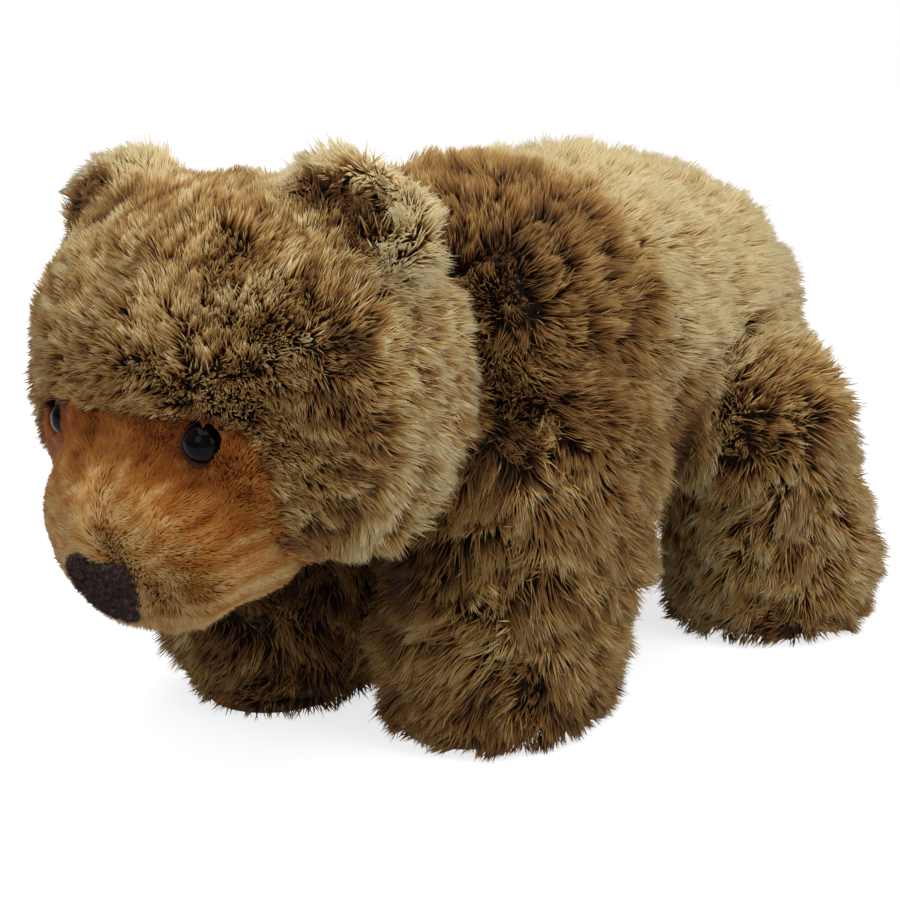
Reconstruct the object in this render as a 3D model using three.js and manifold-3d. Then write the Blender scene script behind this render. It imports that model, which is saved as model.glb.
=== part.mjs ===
// A stuffed plush brown bear on all fours, its head lowered and its right front foot a step ahead.
// Millimetres, +Z up. The bear looks along -Y, its left side is +X, and the origin is on the floor under the
// centre of its bounding box. Every solid is the outer shape of a stuffed piece, out to the pile's tips.

import * as THREE from 'three';
import { mergeVertices } from 'three/addons/utils/BufferGeometryUtils.js';
import Module from 'manifold-3d';

const wasm = await Module();
wasm.setup();

// ---- Driving dimensions ----------------------------------------------------------------------------------

const GAP = 0.3;                    // clearance between pieces that touch
const SOLE_THICKNESS = 2.4;         // short plush sole under each foot
const EYE_DIAMETER = 11;
const EYE_DISC_DIAMETER = 13;       // felt washer behind each eye
const EYE_DISC_THICKNESS = 1.2;
const NOSE_WIDTH = 27;
const NOSE_HEIGHT = 17;
const NOSE_DEPTH = 1.4;             // how far the felt stands out of the muzzle, and reaches into it
const NECK_SEAM_Y = -26;            // the neck is the torso ahead of this plane
const FRONT_STEP = [9, -22, 0];     // the right front leg's place, from the left one's mirror image
const HEAD_CENTRE = [0, -88, 118];
const HEAD_TILT = -3;               // degrees: the left ear is a little higher than the right one
const EAR_STEP = [-5, 0, -1];       // the right ear's place, from the left one's mirror image
const EYE_STEP = [-1.5, 3.5, -0.5]; // the same for the right eye, which sits a little deeper

// ---- Finishes --------------------------------------------------------------------------------------------

const plush = (color) => new THREE.MeshStandardMaterial({ color, roughness: 0.95, metalness: 0 });
const LONG_PLUSH = plush(0x8f6e42);
const SHORT_PLUSH = plush(0xb07a42);
const SOLE_PLUSH = plush(0x8a6a48);
const NOSE_FELT = plush(0x3a2b2e);
const DISC_FELT = plush(0x3a1a0e);
const EYE_PLASTIC = new THREE.MeshStandardMaterial({ color: 0x050506, roughness: 0.08, metalness: 0 });

// ---- Shapes ----------------------------------------------------------------------------------------------

/** The value at s, from 0 to 1, of a smooth line through evenly spaced numbers. */
function spread(values, s) {
  return new THREE.SplineCurve(values.map((value, i) => new THREE.Vector2(i, value))).getPoint(s).y;
}

/**
 * A stuffed form: a sphere drawn out along a spine, with an oval section that follows its stations.
 * Each station is [x, y, z, side, over, under]: the centre of the section and its half-sizes. `over` is above
 * a spine that runs back (+Y) and behind one that runs down. `ends` are the shares of the spine that close at
 * its start and its end. `square` above 2 makes the section boxier, and `blunt` above 2 the ends flatter.
 * `grow` makes the form larger all round.
 */
function stuffedForm({ stations, ends, around, along, square = 2, blunt = 2 }, grow = 0) {
  const spine = new THREE.CatmullRomCurve3(stations.map(([x, y, z]) => new THREE.Vector3(x, y, z)));
  const sideways = new THREE.Vector3(1, 0, 0);
  const bulge = (c) => Math.sign(c) * Math.abs(c) ** (2 / square);
  const geometry = new THREE.SphereGeometry(1, around, along);
  const position = geometry.attributes.position;
  const p = new THREE.Vector3();
  for (let i = 0; i < position.count; i++) {
    p.fromBufferAttribute(position, i);
    const s = THREE.MathUtils.clamp((1 - p.y) / 2, 0, 1);
    const fromEnd = Math.min(s / ends[0], (1 - s) / ends[1], 1);
    const dome = (1 - (1 - fromEnd) ** blunt) ** (1 / blunt);
    const ring = Math.hypot(p.x, p.z);
    const across = ring > 1e-6 ? bulge(p.x / ring) : 0;
    const above = ring > 1e-6 ? bulge(-p.z / ring) : 0;
    const size = (column) => spread(stations.map((station) => station[column]), s) * dome;
    const reach = (column) => size(column) + grow * Math.sign(dome);
    const tangent = spine.getTangent(s);
    const upwards = new THREE.Vector3().crossVectors(sideways, tangent).normalize();
    spine.getPoint(s, p);
    p.addScaledVector(sideways, across * reach(3));
    p.addScaledVector(upwards, above * reach(above > 0 ? 4 : 5));
    p.addScaledVector(tangent, (2 * s - 1) * grow);
    position.setXYZ(i, p.x, p.y, p.z);
  }
  return geometry;
}

/** The place, turn in degrees and half-sizes of a piece as one matrix, with the sizes larger by `grow`. */
function placing({ at, size, turn = [0, 0, 0] }, grow) {
  const euler = new THREE.Euler(...turn.map(THREE.MathUtils.degToRad), 'ZYX');
  return new THREE.Matrix4().compose(new THREE.Vector3(...at), new THREE.Quaternion().setFromEuler(euler),
    new THREE.Vector3(...size).addScalar(grow));
}

/** An oval ball. */
function ball(spec, grow = 0) {
  return new THREE.SphereGeometry(1, spec.around, spec.along).applyMatrix4(placing(spec, grow));
}

/** A thin round or oval pad, flat on top and below, its axis along +Z before it is turned. */
function pad(spec, grow = 0) {
  const upright = new THREE.CylinderGeometry(1, 1, 2, spec.around).rotateX(Math.PI / 2);
  return upright.applyMatrix4(placing(spec, grow));
}

/** The same piece on the left (side 1) or the right (side -1) of the bear, moved by `step`. */
function onSide(spec, side, step = [0, 0, 0]) {
  const move = ([x, y, z, ...rest]) => [x * side + step[0], y + step[1], z + step[2], ...rest];
  const { at, turn, stations } = spec;
  return {
    ...spec,
    ...(at && { at: move(at) }),
    ...(turn && { turn: [turn[0], turn[1] * side, turn[2] * side] }),
    ...(stations && { stations: stations.map(move) }),
  };
}

/** A closed three.js geometry as a solid that can be joined and cut. */
function solid(geometry) {
  const bare = geometry.index ? geometry.toNonIndexed() : geometry.clone();
  bare.deleteAttribute('normal');
  bare.deleteAttribute('uv');
  const merged = mergeVertices(bare, 1e-4);
  return new wasm.Manifold(new wasm.Mesh({
    numProp: 3,
    vertProperties: merged.attributes.position.array,
    triVerts: new Uint32Array(merged.index.array),
  }));
}

/** Adds a solid to a group as a named mesh, without the slivers that a cut may leave beside it. */
function show(parent, name, form, material) {
  const largest = form.decompose().reduce((a, b) => (b.volume() > a.volume() ? b : a));
  const { vertProperties, triVerts } = largest.getMesh();
  const geometry = new THREE.BufferGeometry();
  geometry.setAttribute('position', new THREE.BufferAttribute(Float32Array.from(vertProperties), 3));
  geometry.setIndex(new THREE.BufferAttribute(Uint32Array.from(triVerts), 1));
  geometry.computeVertexNormals();
  const mesh = new THREE.Mesh(geometry, material);
  mesh.name = name;
  parent.add(mesh);
}

const SIDES = [['left', 1], ['right', -1]];

/** What a piece on that side moves by, when only the right one's step is given. */
const stepOf = (side, rightStep) => (side < 0 ? rightStep : [0, 0, 0]);

const bear = new THREE.Group();

// ---- Head, in a group of its own: the face looks along -Y, and the origin is the middle of the skull -----

const SKULL = {
  stations: [
    [0, -51, 0, 55, 35, 42],
    [0, -28, 0, 71, 51, 52],
    [0, -2, 0, 72, 58, 56],
    [0, 26, -1, 67, 55, 54],
    [0, 54, -4, 52, 42, 42],
  ],
  ends: [0.3, 0.4], around: 26, along: 14, square: 2.15, blunt: 2.2,
};
const CHEEK = { at: [35, -4, -22], size: [33, 37, 30], around: 14, along: 8 };
const MUZZLE = {
  stations: [
    [0, -60, -44, 31, 21.5, 21],
    [0, -48, -41.5, 35.5, 25, 25],
    [0, -35, -37, 40.5, 30, 27],
    [0, -20, -35, 44, 32, 26],
    [0, -4, -30, 40, 30, 23],
  ],
  ends: [0.25, 0.3], around: 24, along: 11, square: 2.2, blunt: 2.4,
};
const FACE_PANEL_FRONT = -75;       // the short plush on the front of the skull, between these two planes
const FACE_PANEL_BACK = -22;
const FACE_PANEL_RISE = 0.8;        // how far it stands out of the skull
const EYE_TURN = [66, 0, 48];       // the eyes look forward, outward and a little up
const EYE = {
  at: [31.4, -45.4, -9.5], size: [EYE_DIAMETER / 2, EYE_DIAMETER / 2, 4.6], turn: EYE_TURN,
  around: 14, along: 8,
};
const EAR = { at: [45, -2, 42], size: [28, 15, 22], turn: [-18, 0, 12], around: 18, along: 12 };
const EAR_DISH = { at: [48, -18, 48], size: [16, 9, 12], turn: [-18, 0, 12], around: 14, along: 8 };

const eyeAxis = new THREE.Vector3(0, 0, 1).applyEuler(
  new THREE.Euler(...EYE_TURN.map(THREE.MathUtils.degToRad), 'ZYX'));
const EYE_DISC = {
  at: new THREE.Vector3(...EYE.at).addScaledVector(eyeAxis, -EYE_DISC_THICKNESS).toArray(),
  size: [EYE_DISC_DIAMETER / 2, EYE_DISC_DIAMETER / 2, EYE_DISC_THICKNESS / 2],
  turn: EYE_TURN, around: 18,
};

const skull = (grow) => SIDES.reduce(
  (form, [, side]) => form.add(solid(ball(onSide(CHEEK, side), grow))), solid(stuffedForm(SKULL, grow)));

/** The outline, from the front, of the short plush round the eyes and cheeks, above the muzzle. */
function facePanelOutline(grow) {
  const top = -2 + grow;
  const half = 48 + grow;
  const shape = new THREE.Shape();
  shape.moveTo(0, top + 1);
  shape.bezierCurveTo(12, top + 1, 22, top - 1, 34, top - 1);
  shape.bezierCurveTo(42, top - 2, half - 1, top - 8, half, top - 20);
  shape.bezierCurveTo(half + 1, top - 30, half - 3, top - 40, 34 + grow, top - 46);
  shape.lineTo(-34 - grow, top - 46);
  shape.bezierCurveTo(-half + 3, top - 40, -half - 1, top - 30, -half, top - 20);
  shape.bezierCurveTo(-half + 1, top - 8, -42, top - 2, -34, top - 1);
  shape.bezierCurveTo(-22, top - 1, -12, top + 1, 0, top + 1);
  return shape;
}

/** The short plush on the skull itself: a slice of the skull's front inside the panel's outline. */
function facePanel(grow) {
  const depth = FACE_PANEL_BACK - FACE_PANEL_FRONT + grow;
  const block = new THREE.ExtrudeGeometry(facePanelOutline(grow),
    { depth, bevelEnabled: false, curveSegments: 4 });
  return solid(block.rotateX(Math.PI / 2).translate(0, FACE_PANEL_BACK + grow, 0))
    .intersect(skull(FACE_PANEL_RISE + grow));
}

const muzzle = (grow) => solid(stuffedForm(MUZZLE, grow)).add(facePanel(grow));
const eye = (side, grow) => solid(ball(onSide(EYE, side, stepOf(side, EYE_STEP)), grow));
const eyeDisc = (side, grow) => solid(pad(onSide(EYE_DISC, side, stepOf(side, EYE_STEP)), grow));
const eyeSockets = SIDES.map(([, side]) => eye(side, GAP).add(eyeDisc(side, GAP))).reduce((a, b) => a.add(b));

const NOSE_BLOCK_AT = [0, -35, -44.5];      // behind the middle of the nose's upper edge
const NOSE_BLOCK_DEPTH = 40;                // reaches forward through the muzzle's front

/** The nose's outline from the front: wide above with a dip in the middle, narrow below. */
function noseOutline(grow) {
  const half = NOSE_WIDTH / 2 + grow;
  const foot = half * 0.6;
  const top = grow;
  const bottom = -NOSE_HEIGHT - grow;
  const shape = new THREE.Shape();
  shape.moveTo(0, top - 1.2);
  shape.quadraticCurveTo(half * 0.5, top + 0.8, half * 0.8, top);
  shape.quadraticCurveTo(half, top - 0.4, half, top - 4);
  shape.quadraticCurveTo(half * 0.95, top - 10, foot, bottom + 2);
  shape.quadraticCurveTo(foot * 0.8, bottom, 0, bottom);
  shape.quadraticCurveTo(-foot * 0.8, bottom, -foot, bottom + 2);
  shape.quadraticCurveTo(-half * 0.95, top - 10, -half, top - 4);
  shape.quadraticCurveTo(-half, top - 0.4, -half * 0.8, top);
  shape.quadraticCurveTo(-half * 0.5, top + 0.8, 0, top - 1.2);
  return shape;
}

/** The felt nose: a patch with the muzzle's own curve, inside the nose's outline. */
function nose(grow) {
  const block = new THREE.ExtrudeGeometry(noseOutline(grow),
    { depth: NOSE_BLOCK_DEPTH, bevelEnabled: false, curveSegments: 3 });
  return solid(block.rotateX(Math.PI / 2).translate(...NOSE_BLOCK_AT))
    .intersect(solid(stuffedForm(MUZZLE, NOSE_DEPTH + grow)))
    .subtract(solid(stuffedForm(MUZZLE, -NOSE_DEPTH - grow)));
}

const head = new THREE.Group();
head.position.set(...HEAD_CENTRE);
head.rotation.y = THREE.MathUtils.degToRad(HEAD_TILT);
head.updateMatrix();
bear.add(head);

show(head, 'head', skull(0).subtract(muzzle(GAP)).subtract(eyeSockets), LONG_PLUSH);
show(head, 'muzzle', muzzle(0).subtract(nose(GAP)).subtract(eyeSockets), SHORT_PLUSH);
show(head, 'nose', nose(0), NOSE_FELT);
for (const [name, side] of SIDES) {
  const step = stepOf(side, EAR_STEP);
  const cupped = solid(ball(onSide(EAR, side, step))).subtract(solid(ball(onSide(EAR_DISH, side, step))));
  show(head, `ear_${name}`, cupped.subtract(skull(GAP)), LONG_PLUSH);
  show(head, `eye_${name}`, eye(side, 0), EYE_PLASTIC);
  show(head, `eye_disc_${name}`, eyeDisc(side, 0).subtract(eye(side, GAP)), DISC_FELT);
}

// ---- Neck, trunk and tail --------------------------------------------------------------------------------

const TORSO = {
  stations: [
    [0, -66, 112, 44, 52, 46],
    [0, -24, 113, 60, 61, 60],
    [0, 24, 112, 65, 62, 64],
    [0, 72, 109, 67, 63, 62],
    [0, 114, 102, 64, 58, 54],
    [0, 155, 94, 57, 49, 45],
  ],
  ends: [0.25, 0.25], around: 26, along: 16,
};
const TAIL = { at: [0, 155, 112], size: [11, 13, 15], turn: [30, 0, 0], around: 12, along: 8 };

const ahead = [0, -1, 0];
const behind = [0, 1, 0];
const headSpace = skull(GAP).transform(head.matrix.elements);
const torso = solid(stuffedForm(TORSO)).subtract(headSpace);
const torsoSpace = solid(stuffedForm(TORSO, GAP)).add(headSpace);
show(bear, 'neck', torso.trimByPlane(ahead, GAP / 2 - NECK_SEAM_Y), LONG_PLUSH);
show(bear, 'trunk', torso.trimByPlane(behind, GAP / 2 + NECK_SEAM_Y), LONG_PLUSH);
show(bear, 'tail', solid(ball(TAIL)).subtract(torsoSpace), LONG_PLUSH);

// ---- Legs and soles: a leg's spine runs down from the shoulder or hip to the foot ------------------------

const LEG_FRONT = {
  stations: [
    [32, -18, 132, 30, 44, 36],
    [40, -16, 98, 35, 66, 40],
    [43, -20, 60, 37, 63, 41],
    [42, -27, 26, 37, 51, 39],
    [38, -31, -3, 30, 41, 31],
  ],
  ends: [0.3, 0.13], around: 20, along: 12,
};
const LEG_HIND = {
  stations: [
    [38, 98, 114, 32, 42, 46],
    [46, 103, 84, 39, 40, 50],
    [50, 110, 52, 38, 41, 42],
    [52, 116, 25, 40, 42, 44],
    [52, 117, -3, 33, 33, 39],
  ],
  ends: [0.3, 0.13], around: 20, along: 12,
};
const SOLE_FRONT = { at: [38, -30, SOLE_THICKNESS / 2], size: [27, 31, SOLE_THICKNESS / 2], around: 24 };
const SOLE_HIND = { at: [52, 117, SOLE_THICKNESS / 2], size: [30, 32, SOLE_THICKNESS / 2], around: 24 };

const upwards = [0, 0, 1];
for (const [place, leg, sole] of [['front', LEG_FRONT, SOLE_FRONT], ['hind', LEG_HIND, SOLE_HIND]]) {
  for (const [name, side] of SIDES) {
    const step = place === 'front' ? stepOf(side, FRONT_STEP) : [0, 0, 0];
    const standing = solid(stuffedForm(onSide(leg, side, step))).trimByPlane(upwards, SOLE_THICKNESS + GAP);
    show(bear, `leg_${place}_${name}`, standing.subtract(torsoSpace), LONG_PLUSH);
    show(bear, `sole_${place}_${name}`, solid(pad(onSide(sole, side, step))), SOLE_PLUSH);
  }
}

// ---- Origin: on the floor, under the centre of the whole bear --------------------------------------------

const box = new THREE.Box3().setFromObject(bear);
const middle = box.getCenter(new THREE.Vector3());
bear.position.set(-middle.x, -middle.y, -box.min.z);
const root = new THREE.Group();
root.add(bear);

export default root;
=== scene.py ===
"""A stuffed plush brown bear on all fours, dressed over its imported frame.

The backing cloth is one sewn and stuffed skin. Pile stands on it in tufts: long on the body, short and
rust-coloured on the muzzle. Eyes, felt discs, nose and soles are pieces of their own. Sizes inside the
classes are millimetres and degrees unless they say otherwise; meshes are in metres.
"""

import logging
import math
from collections.abc import Sequence
from dataclasses import dataclass, field, fields
from enum import Enum

import bmesh
import bpy
import numpy as np
from bmesh.types import BMesh
from bpy.types import Material, Mesh, Node, NodeSocket, NodeTree, Object
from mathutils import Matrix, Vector
from mathutils.bvhtree import BVHTree
from mathutils.kdtree import KDTree


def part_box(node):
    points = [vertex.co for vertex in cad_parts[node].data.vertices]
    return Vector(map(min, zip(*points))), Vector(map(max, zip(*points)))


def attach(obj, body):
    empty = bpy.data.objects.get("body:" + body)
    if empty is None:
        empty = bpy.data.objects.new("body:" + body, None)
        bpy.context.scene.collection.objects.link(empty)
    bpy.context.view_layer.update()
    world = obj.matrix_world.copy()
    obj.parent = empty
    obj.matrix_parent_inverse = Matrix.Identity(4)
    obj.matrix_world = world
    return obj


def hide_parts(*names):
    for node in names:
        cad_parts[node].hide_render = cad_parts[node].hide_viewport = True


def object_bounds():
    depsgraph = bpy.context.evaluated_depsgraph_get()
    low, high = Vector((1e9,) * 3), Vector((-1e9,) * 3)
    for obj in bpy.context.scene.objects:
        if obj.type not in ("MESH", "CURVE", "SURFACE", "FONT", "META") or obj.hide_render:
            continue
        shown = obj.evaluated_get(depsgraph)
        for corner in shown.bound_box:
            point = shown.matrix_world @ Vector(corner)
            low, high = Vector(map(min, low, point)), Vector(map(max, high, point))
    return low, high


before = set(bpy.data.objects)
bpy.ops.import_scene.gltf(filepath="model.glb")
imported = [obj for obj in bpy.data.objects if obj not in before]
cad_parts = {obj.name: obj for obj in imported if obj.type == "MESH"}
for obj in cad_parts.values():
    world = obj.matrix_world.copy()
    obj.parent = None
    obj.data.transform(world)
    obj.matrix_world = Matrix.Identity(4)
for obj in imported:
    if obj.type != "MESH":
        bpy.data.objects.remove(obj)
CAD_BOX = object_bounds()

Array = np.ndarray
MM = 0.001
BODY = "root"
LOG = logging.getLogger("bear")


# ---------------------------------------------------------------- names and small tools


class Panel(Enum):
    """A plush panel of the toy, valued by the frame's node that it covers."""

    HEAD = "head"
    MUZZLE = "muzzle"
    EAR_LEFT = "ear_left"
    EAR_RIGHT = "ear_right"
    NECK = "neck"
    TRUNK = "trunk"
    TAIL = "tail"
    LEG_FRONT_LEFT = "leg_front_left"
    LEG_FRONT_RIGHT = "leg_front_right"
    LEG_HIND_LEFT = "leg_hind_left"
    LEG_HIND_RIGHT = "leg_hind_right"


PANELS = list(Panel)
EARS = (Panel.EAR_LEFT, Panel.EAR_RIGHT)
LEGS = (Panel.LEG_FRONT_LEFT, Panel.LEG_FRONT_RIGHT, Panel.LEG_HIND_LEFT, Panel.LEG_HIND_RIGHT)
SIDES = ("left", "right")


class Unwrap(Enum):
    """How a coat piece's roots are laid flat for its colour map."""

    ROUND_Y = "angle round the toy's length, and place along it"
    ROUND_Z = "angle round a leg, and height"
    GLOBE = "angle and height as on a globe, at equal areas"


def linear(colour: str) -> tuple[float, float, float, float]:
    """An sRGB hex colour such as "#8a6536", as linear red, green, blue and an alpha of 1."""
    parts = [int(colour[i:i + 2], 16) / 255 for i in (1, 3, 5)]
    return tuple(c / 12.92 if c <= 0.04045 else ((c + 0.055) / 1.055) ** 2.4 for c in parts) + (1.0,)


def add_node(tree: NodeTree, kind: str, links: dict | None = None, stops: list | None = None,
             **settings) -> Node:
    """Adds one node to a tree.

    Args:
        tree: the node tree.
        kind: the node's type name.
        links: what each input takes, by name or number: a socket to link, or a plain value.
        stops: a colour ramp's stops, each a place from 0 to 1 and an sRGB hex colour.
        **settings: the node's own properties.

    Returns:
        The new node.
    """
    made = tree.nodes.new(kind)
    for name, value in settings.items():
        setattr(made, name, value)
    for place, (at, colour) in enumerate(stops or []):
        elements = made.color_ramp.elements
        stop = elements[place] if place < 2 else elements.new(at)
        stop.position, stop.color = at, linear(colour)
    for name, value in (links or {}).items():
        if isinstance(value, NodeSocket):
            tree.links.new(value, made.inputs[name])
        else:
            made.inputs[name].default_value = value
    return made


def new_material(name: str) -> tuple[Material, NodeTree, Node]:
    """An empty node material.

    Args:
        name: the material's name.

    Returns:
        The material, its tree and its Principled shader, which is linked to the output.
    """
    made = bpy.data.materials.new(name)
    made.use_nodes = True
    tree = made.node_tree
    tree.nodes.clear()
    shader = add_node(tree, "ShaderNodeBsdfPrincipled")
    add_node(tree, "ShaderNodeOutputMaterial", {"Surface": shader.outputs[0]})
    return made, tree, shader


def ease(value: Array, low: float, high: float) -> Array:
    """A smooth step of value from 0 at low to 1 at high."""
    share = np.clip((value - low) / (high - low), 0, 1)
    return share * share * (3 - 2 * share)


@dataclass(frozen=True)
class Step:
    """A smooth step from 0 at low to 1 at high."""

    low: float
    high: float

    def of(self, value: Array) -> Array:
        """The step's height at a value."""
        return ease(value, self.low, self.high)

    def along(self, place: Array) -> Array:
        """The height at a place in metres, of a step that is given in mm."""
        return ease(place, self.low * MM, self.high * MM)


def bell(distance: Array, width: float) -> Array:
    """1 at a distance of 0, about a third at width, and almost nothing at twice that."""
    return np.exp(-(distance / width) ** 2)


def lengths_of(vectors: Array) -> Array:
    """The vectors' lengths, kept as a last axis of one."""
    return np.linalg.norm(vectors, axis=-1, keepdims=True)


def unit(vectors: Array) -> Array:
    """The vectors at length 1."""
    return vectors / np.maximum(lengths_of(vectors), 1e-12)


def dot(first: Array, second: Array) -> Array:
    """The dot product of each pair of vectors, kept as a last axis of one."""
    return (first * second).sum(-1, keepdims=True)


def flattened(vectors: Array, normals: Array) -> Array:
    """The vectors without what stands along the normals."""
    return vectors - normals * dot(vectors, normals)


def blend(first: Array, second: Array, share: Array) -> Array:
    """first where share is 0, second where it is 1."""
    return first + (second - first) * share


def box_of(name: str) -> tuple[Array, Array]:
    """A frame node's lowest and highest corner, in metres."""
    low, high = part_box(name)
    return np.array(low), np.array(high)


def centre_of(name: str) -> Array:
    """The middle of a frame node's box, in metres."""
    low, high = box_of(name)
    return (low + high) / 2


def distance_from(name: str, points: Array) -> Array:
    """How far points are from a frame node's surface.

    Args:
        name: the node.
        points: places in metres.

    Returns:
        Each point's distance in mm, as a column.
    """
    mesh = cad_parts[name].data
    tree = BVHTree.FromPolygons([vertex.co.copy() for vertex in mesh.vertices],
                                [list(face.vertices) for face in mesh.polygons])
    return np.array([tree.find_nearest(Vector(point))[3] / MM for point in points]).reshape(-1, 1)


def tree_of(points: Array, numbers: Sequence[int]) -> KDTree:
    """A search tree of some of the points.

    Args:
        points: all of them.
        numbers: which ones the tree holds, in the order in which they go in.

    Returns:
        The tree, which finds a point's number.
    """
    tree = KDTree(len(numbers))
    for number in numbers:
        tree.insert(points[number], int(number))
    tree.balance()
    return tree


def evaluated_mesh(obj: Object) -> Mesh:
    """A plain mesh of obj with its modifiers applied."""
    bpy.context.view_layer.update()
    return bpy.data.meshes.new_from_object(obj.evaluated_get(bpy.context.evaluated_depsgraph_get()))


def linked_object(name: str, mesh: Mesh) -> Object:
    """Puts a mesh in the scene.

    Args:
        name: the object's name.
        mesh: its mesh.

    Returns:
        The new object.
    """
    obj = bpy.data.objects.new(name, mesh)
    bpy.context.scene.collection.objects.link(obj)
    return obj


def settle(obj: Object) -> None:
    """Applies an object's modifiers, so that it is a plain mesh.

    Args:
        obj: the object.
    """
    mesh = evaluated_mesh(obj)
    obj.modifiers.clear()
    obj.data = mesh
    mesh.name = obj.name


def remesh(obj: Object, size: float) -> None:
    """Gives an object one closed surface of even squares.

    Args:
        obj: the object.
        size: of the squares, in mm.
    """
    modifier = obj.modifiers.new("weave", "REMESH")
    modifier.mode = "VOXEL"
    modifier.voxel_size = size * MM
    settle(obj)


def shade_smooth(mesh: Mesh) -> None:
    """Shades all faces of a mesh smooth."""
    mesh.polygons.foreach_set("use_smooth", np.ones(len(mesh.polygons), bool))


def merged_copy(name: str) -> BMesh:
    """A frame node's mesh with its loose triangles joined.

    Args:
        name: the node.

    Returns:
        A new bmesh, which the caller frees.
    """
    shape = bmesh.new()
    shape.from_mesh(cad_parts[name].data)
    bmesh.ops.remove_doubles(shape, verts=shape.verts, dist=1e-6)
    shape.normal_update()
    return shape


def turned(name: str, centre: Array, axes: Array, profile: list[tuple[float, float]], sides: int) -> Object:
    """Turns a profile round an axis.

    Args:
        name: the piece's name.
        centre: its middle, in metres.
        axes: three rows: out to the side, out a quarter turn later, and up the axis.
        profile: each ring's radius and height, in lengths of those rows, from the bottom pole to the top one.
        sides: the corners of a ring.

    Returns:
        A closed, smooth piece.
    """
    shape = bmesh.new()
    poles = [shape.verts.new(centre + axes[2] * profile[end][1]) for end in (0, -1)]
    rings = []
    for radius, height in profile[1:-1]:
        ring = []
        for turn in range(sides):
            angle = 2 * math.pi * turn / sides
            out = math.cos(angle) * axes[0] + math.sin(angle) * axes[1]
            ring.append(shape.verts.new(centre + out * radius + axes[2] * height))
        rings.append(ring)
    for turn in range(sides):
        after = (turn + 1) % sides
        shape.faces.new((poles[0], rings[0][after], rings[0][turn]))
        for low, high in zip(rings, rings[1:]):
            shape.faces.new((low[turn], low[after], high[after], high[turn]))
        shape.faces.new((rings[-1][turn], rings[-1][after], poles[1]))
    bmesh.ops.recalc_face_normals(shape, faces=shape.faces)
    mesh = bpy.data.meshes.new(name)
    shape.to_mesh(mesh)
    shape.free()
    shade_smooth(mesh)
    return linked_object(name, mesh)


def dress(obj: Object, nodes: tuple[str, ...], materials: tuple[Material, ...]) -> None:
    """Gives a finished piece its materials and its place in the frame.

    Args:
        obj: the piece.
        nodes: the frame nodes that it stands for.
        materials: its materials, in slot order.
    """
    obj.data.materials.clear()
    for material in materials:
        obj.data.materials.append(material)
    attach(obj, BODY)
    if nodes:
        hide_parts(*nodes)
    LOG.info("%s: %d faces", obj.name, len(obj.data.polygons))


class Waves:
    """Smooth seeded noise over space: a sum of plane waves, about 0 on average and 1 in spread."""

    def __init__(self, size: float, seed: int, count: int = 14) -> None:
        """Draws the waves.

        Args:
            size: the usual distance between crests, in millimetres.
            seed: the seed of the draw.
            count: how many waves are added.
        """
        draw = np.random.default_rng(seed)
        turns = draw.uniform(0.6, 1.5, (count, 1)) * 2 * math.pi / (size * MM)
        self.waves = (unit(draw.normal(size=(count, 3))) * turns).T
        self.phases = draw.uniform(0, 2 * math.pi, count)
        self.scale = math.sqrt(2 / count)

    def at(self, points: Array) -> Array:
        """The noise at each point, in metres, as a column."""
        return (np.sin(points @ self.waves + self.phases).sum(-1) * self.scale)[..., None]


@dataclass(frozen=True)
class Uneven:
    """Waves of a given height."""

    height: float
    size: float            # mm between crests
    seed: int

    def at(self, points: Array) -> Array:
        """The unevenness at each point, in metres, as a column."""
        return self.height * Waves(self.size, self.seed).at(points)


class Surface:
    """A mesh of quads as arrays, with values that can be smoothed along its edges."""

    def __init__(self, mesh: Mesh) -> None:
        """Reads the mesh.

        Args:
            mesh: a mesh of quads.
        """
        self.mesh = mesh
        self.edges = np.empty(len(mesh.edges) * 2, np.int32)
        mesh.edges.foreach_get("vertices", self.edges)
        self.edges = self.edges.reshape(-1, 2)
        self.count = len(mesh.vertices)
        self.valence = np.maximum(np.bincount(self.edges.ravel(), minlength=self.count), 1)[:, None]
        self.read()

    def read(self) -> None:
        """Reads the places and normals again, after the mesh has moved."""
        self.points = np.empty(self.count * 3)
        self.mesh.vertices.foreach_get("co", self.points)
        self.points = self.points.reshape(-1, 3)
        self.normals = np.empty(self.count * 3)
        self.mesh.vertices.foreach_get("normal", self.normals)
        self.normals = self.normals.reshape(-1, 3)

    def move(self, points: Array) -> None:
        """Puts the vertices at new places.

        Args:
            points: a row for each vertex, in metres.
        """
        self.mesh.vertices.foreach_set("co", points.ravel())
        self.mesh.update()
        self.read()

    def around(self, values: Array) -> Array:
        """The mean of each vertex's neighbours.

        Args:
            values: one row for each vertex.

        Returns:
            The means, in the same shape.
        """
        first, second = self.edges.T
        total = np.empty_like(values)
        for column in range(values.shape[1]):
            part = values[:, column]
            total[:, column] = (np.bincount(first, part[second], self.count)
                                + np.bincount(second, part[first], self.count))
        return total / self.valence

    def smooth(self, values: Array, times: int) -> Array:
        """Values evened out along the edges that many times."""
        for _ in range(times):
            values = (values + self.around(values)) / 2
        return values

    def quads(self) -> Array:
        """The quads.

        Returns:
            The four vertices of each.
        """
        corners = np.empty(len(self.mesh.loops), np.int32)
        self.mesh.loops.foreach_get("vertex_index", corners)
        return corners.reshape(-1, 4)

    def areas(self) -> Array:
        """The quads' sizes.

        Returns:
            The area of each, in square metres.
        """
        areas = np.empty(len(self.mesh.polygons))
        self.mesh.polygons.foreach_get("area", areas)
        return areas


# ---------------------------------------------------------------- finishes


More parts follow.
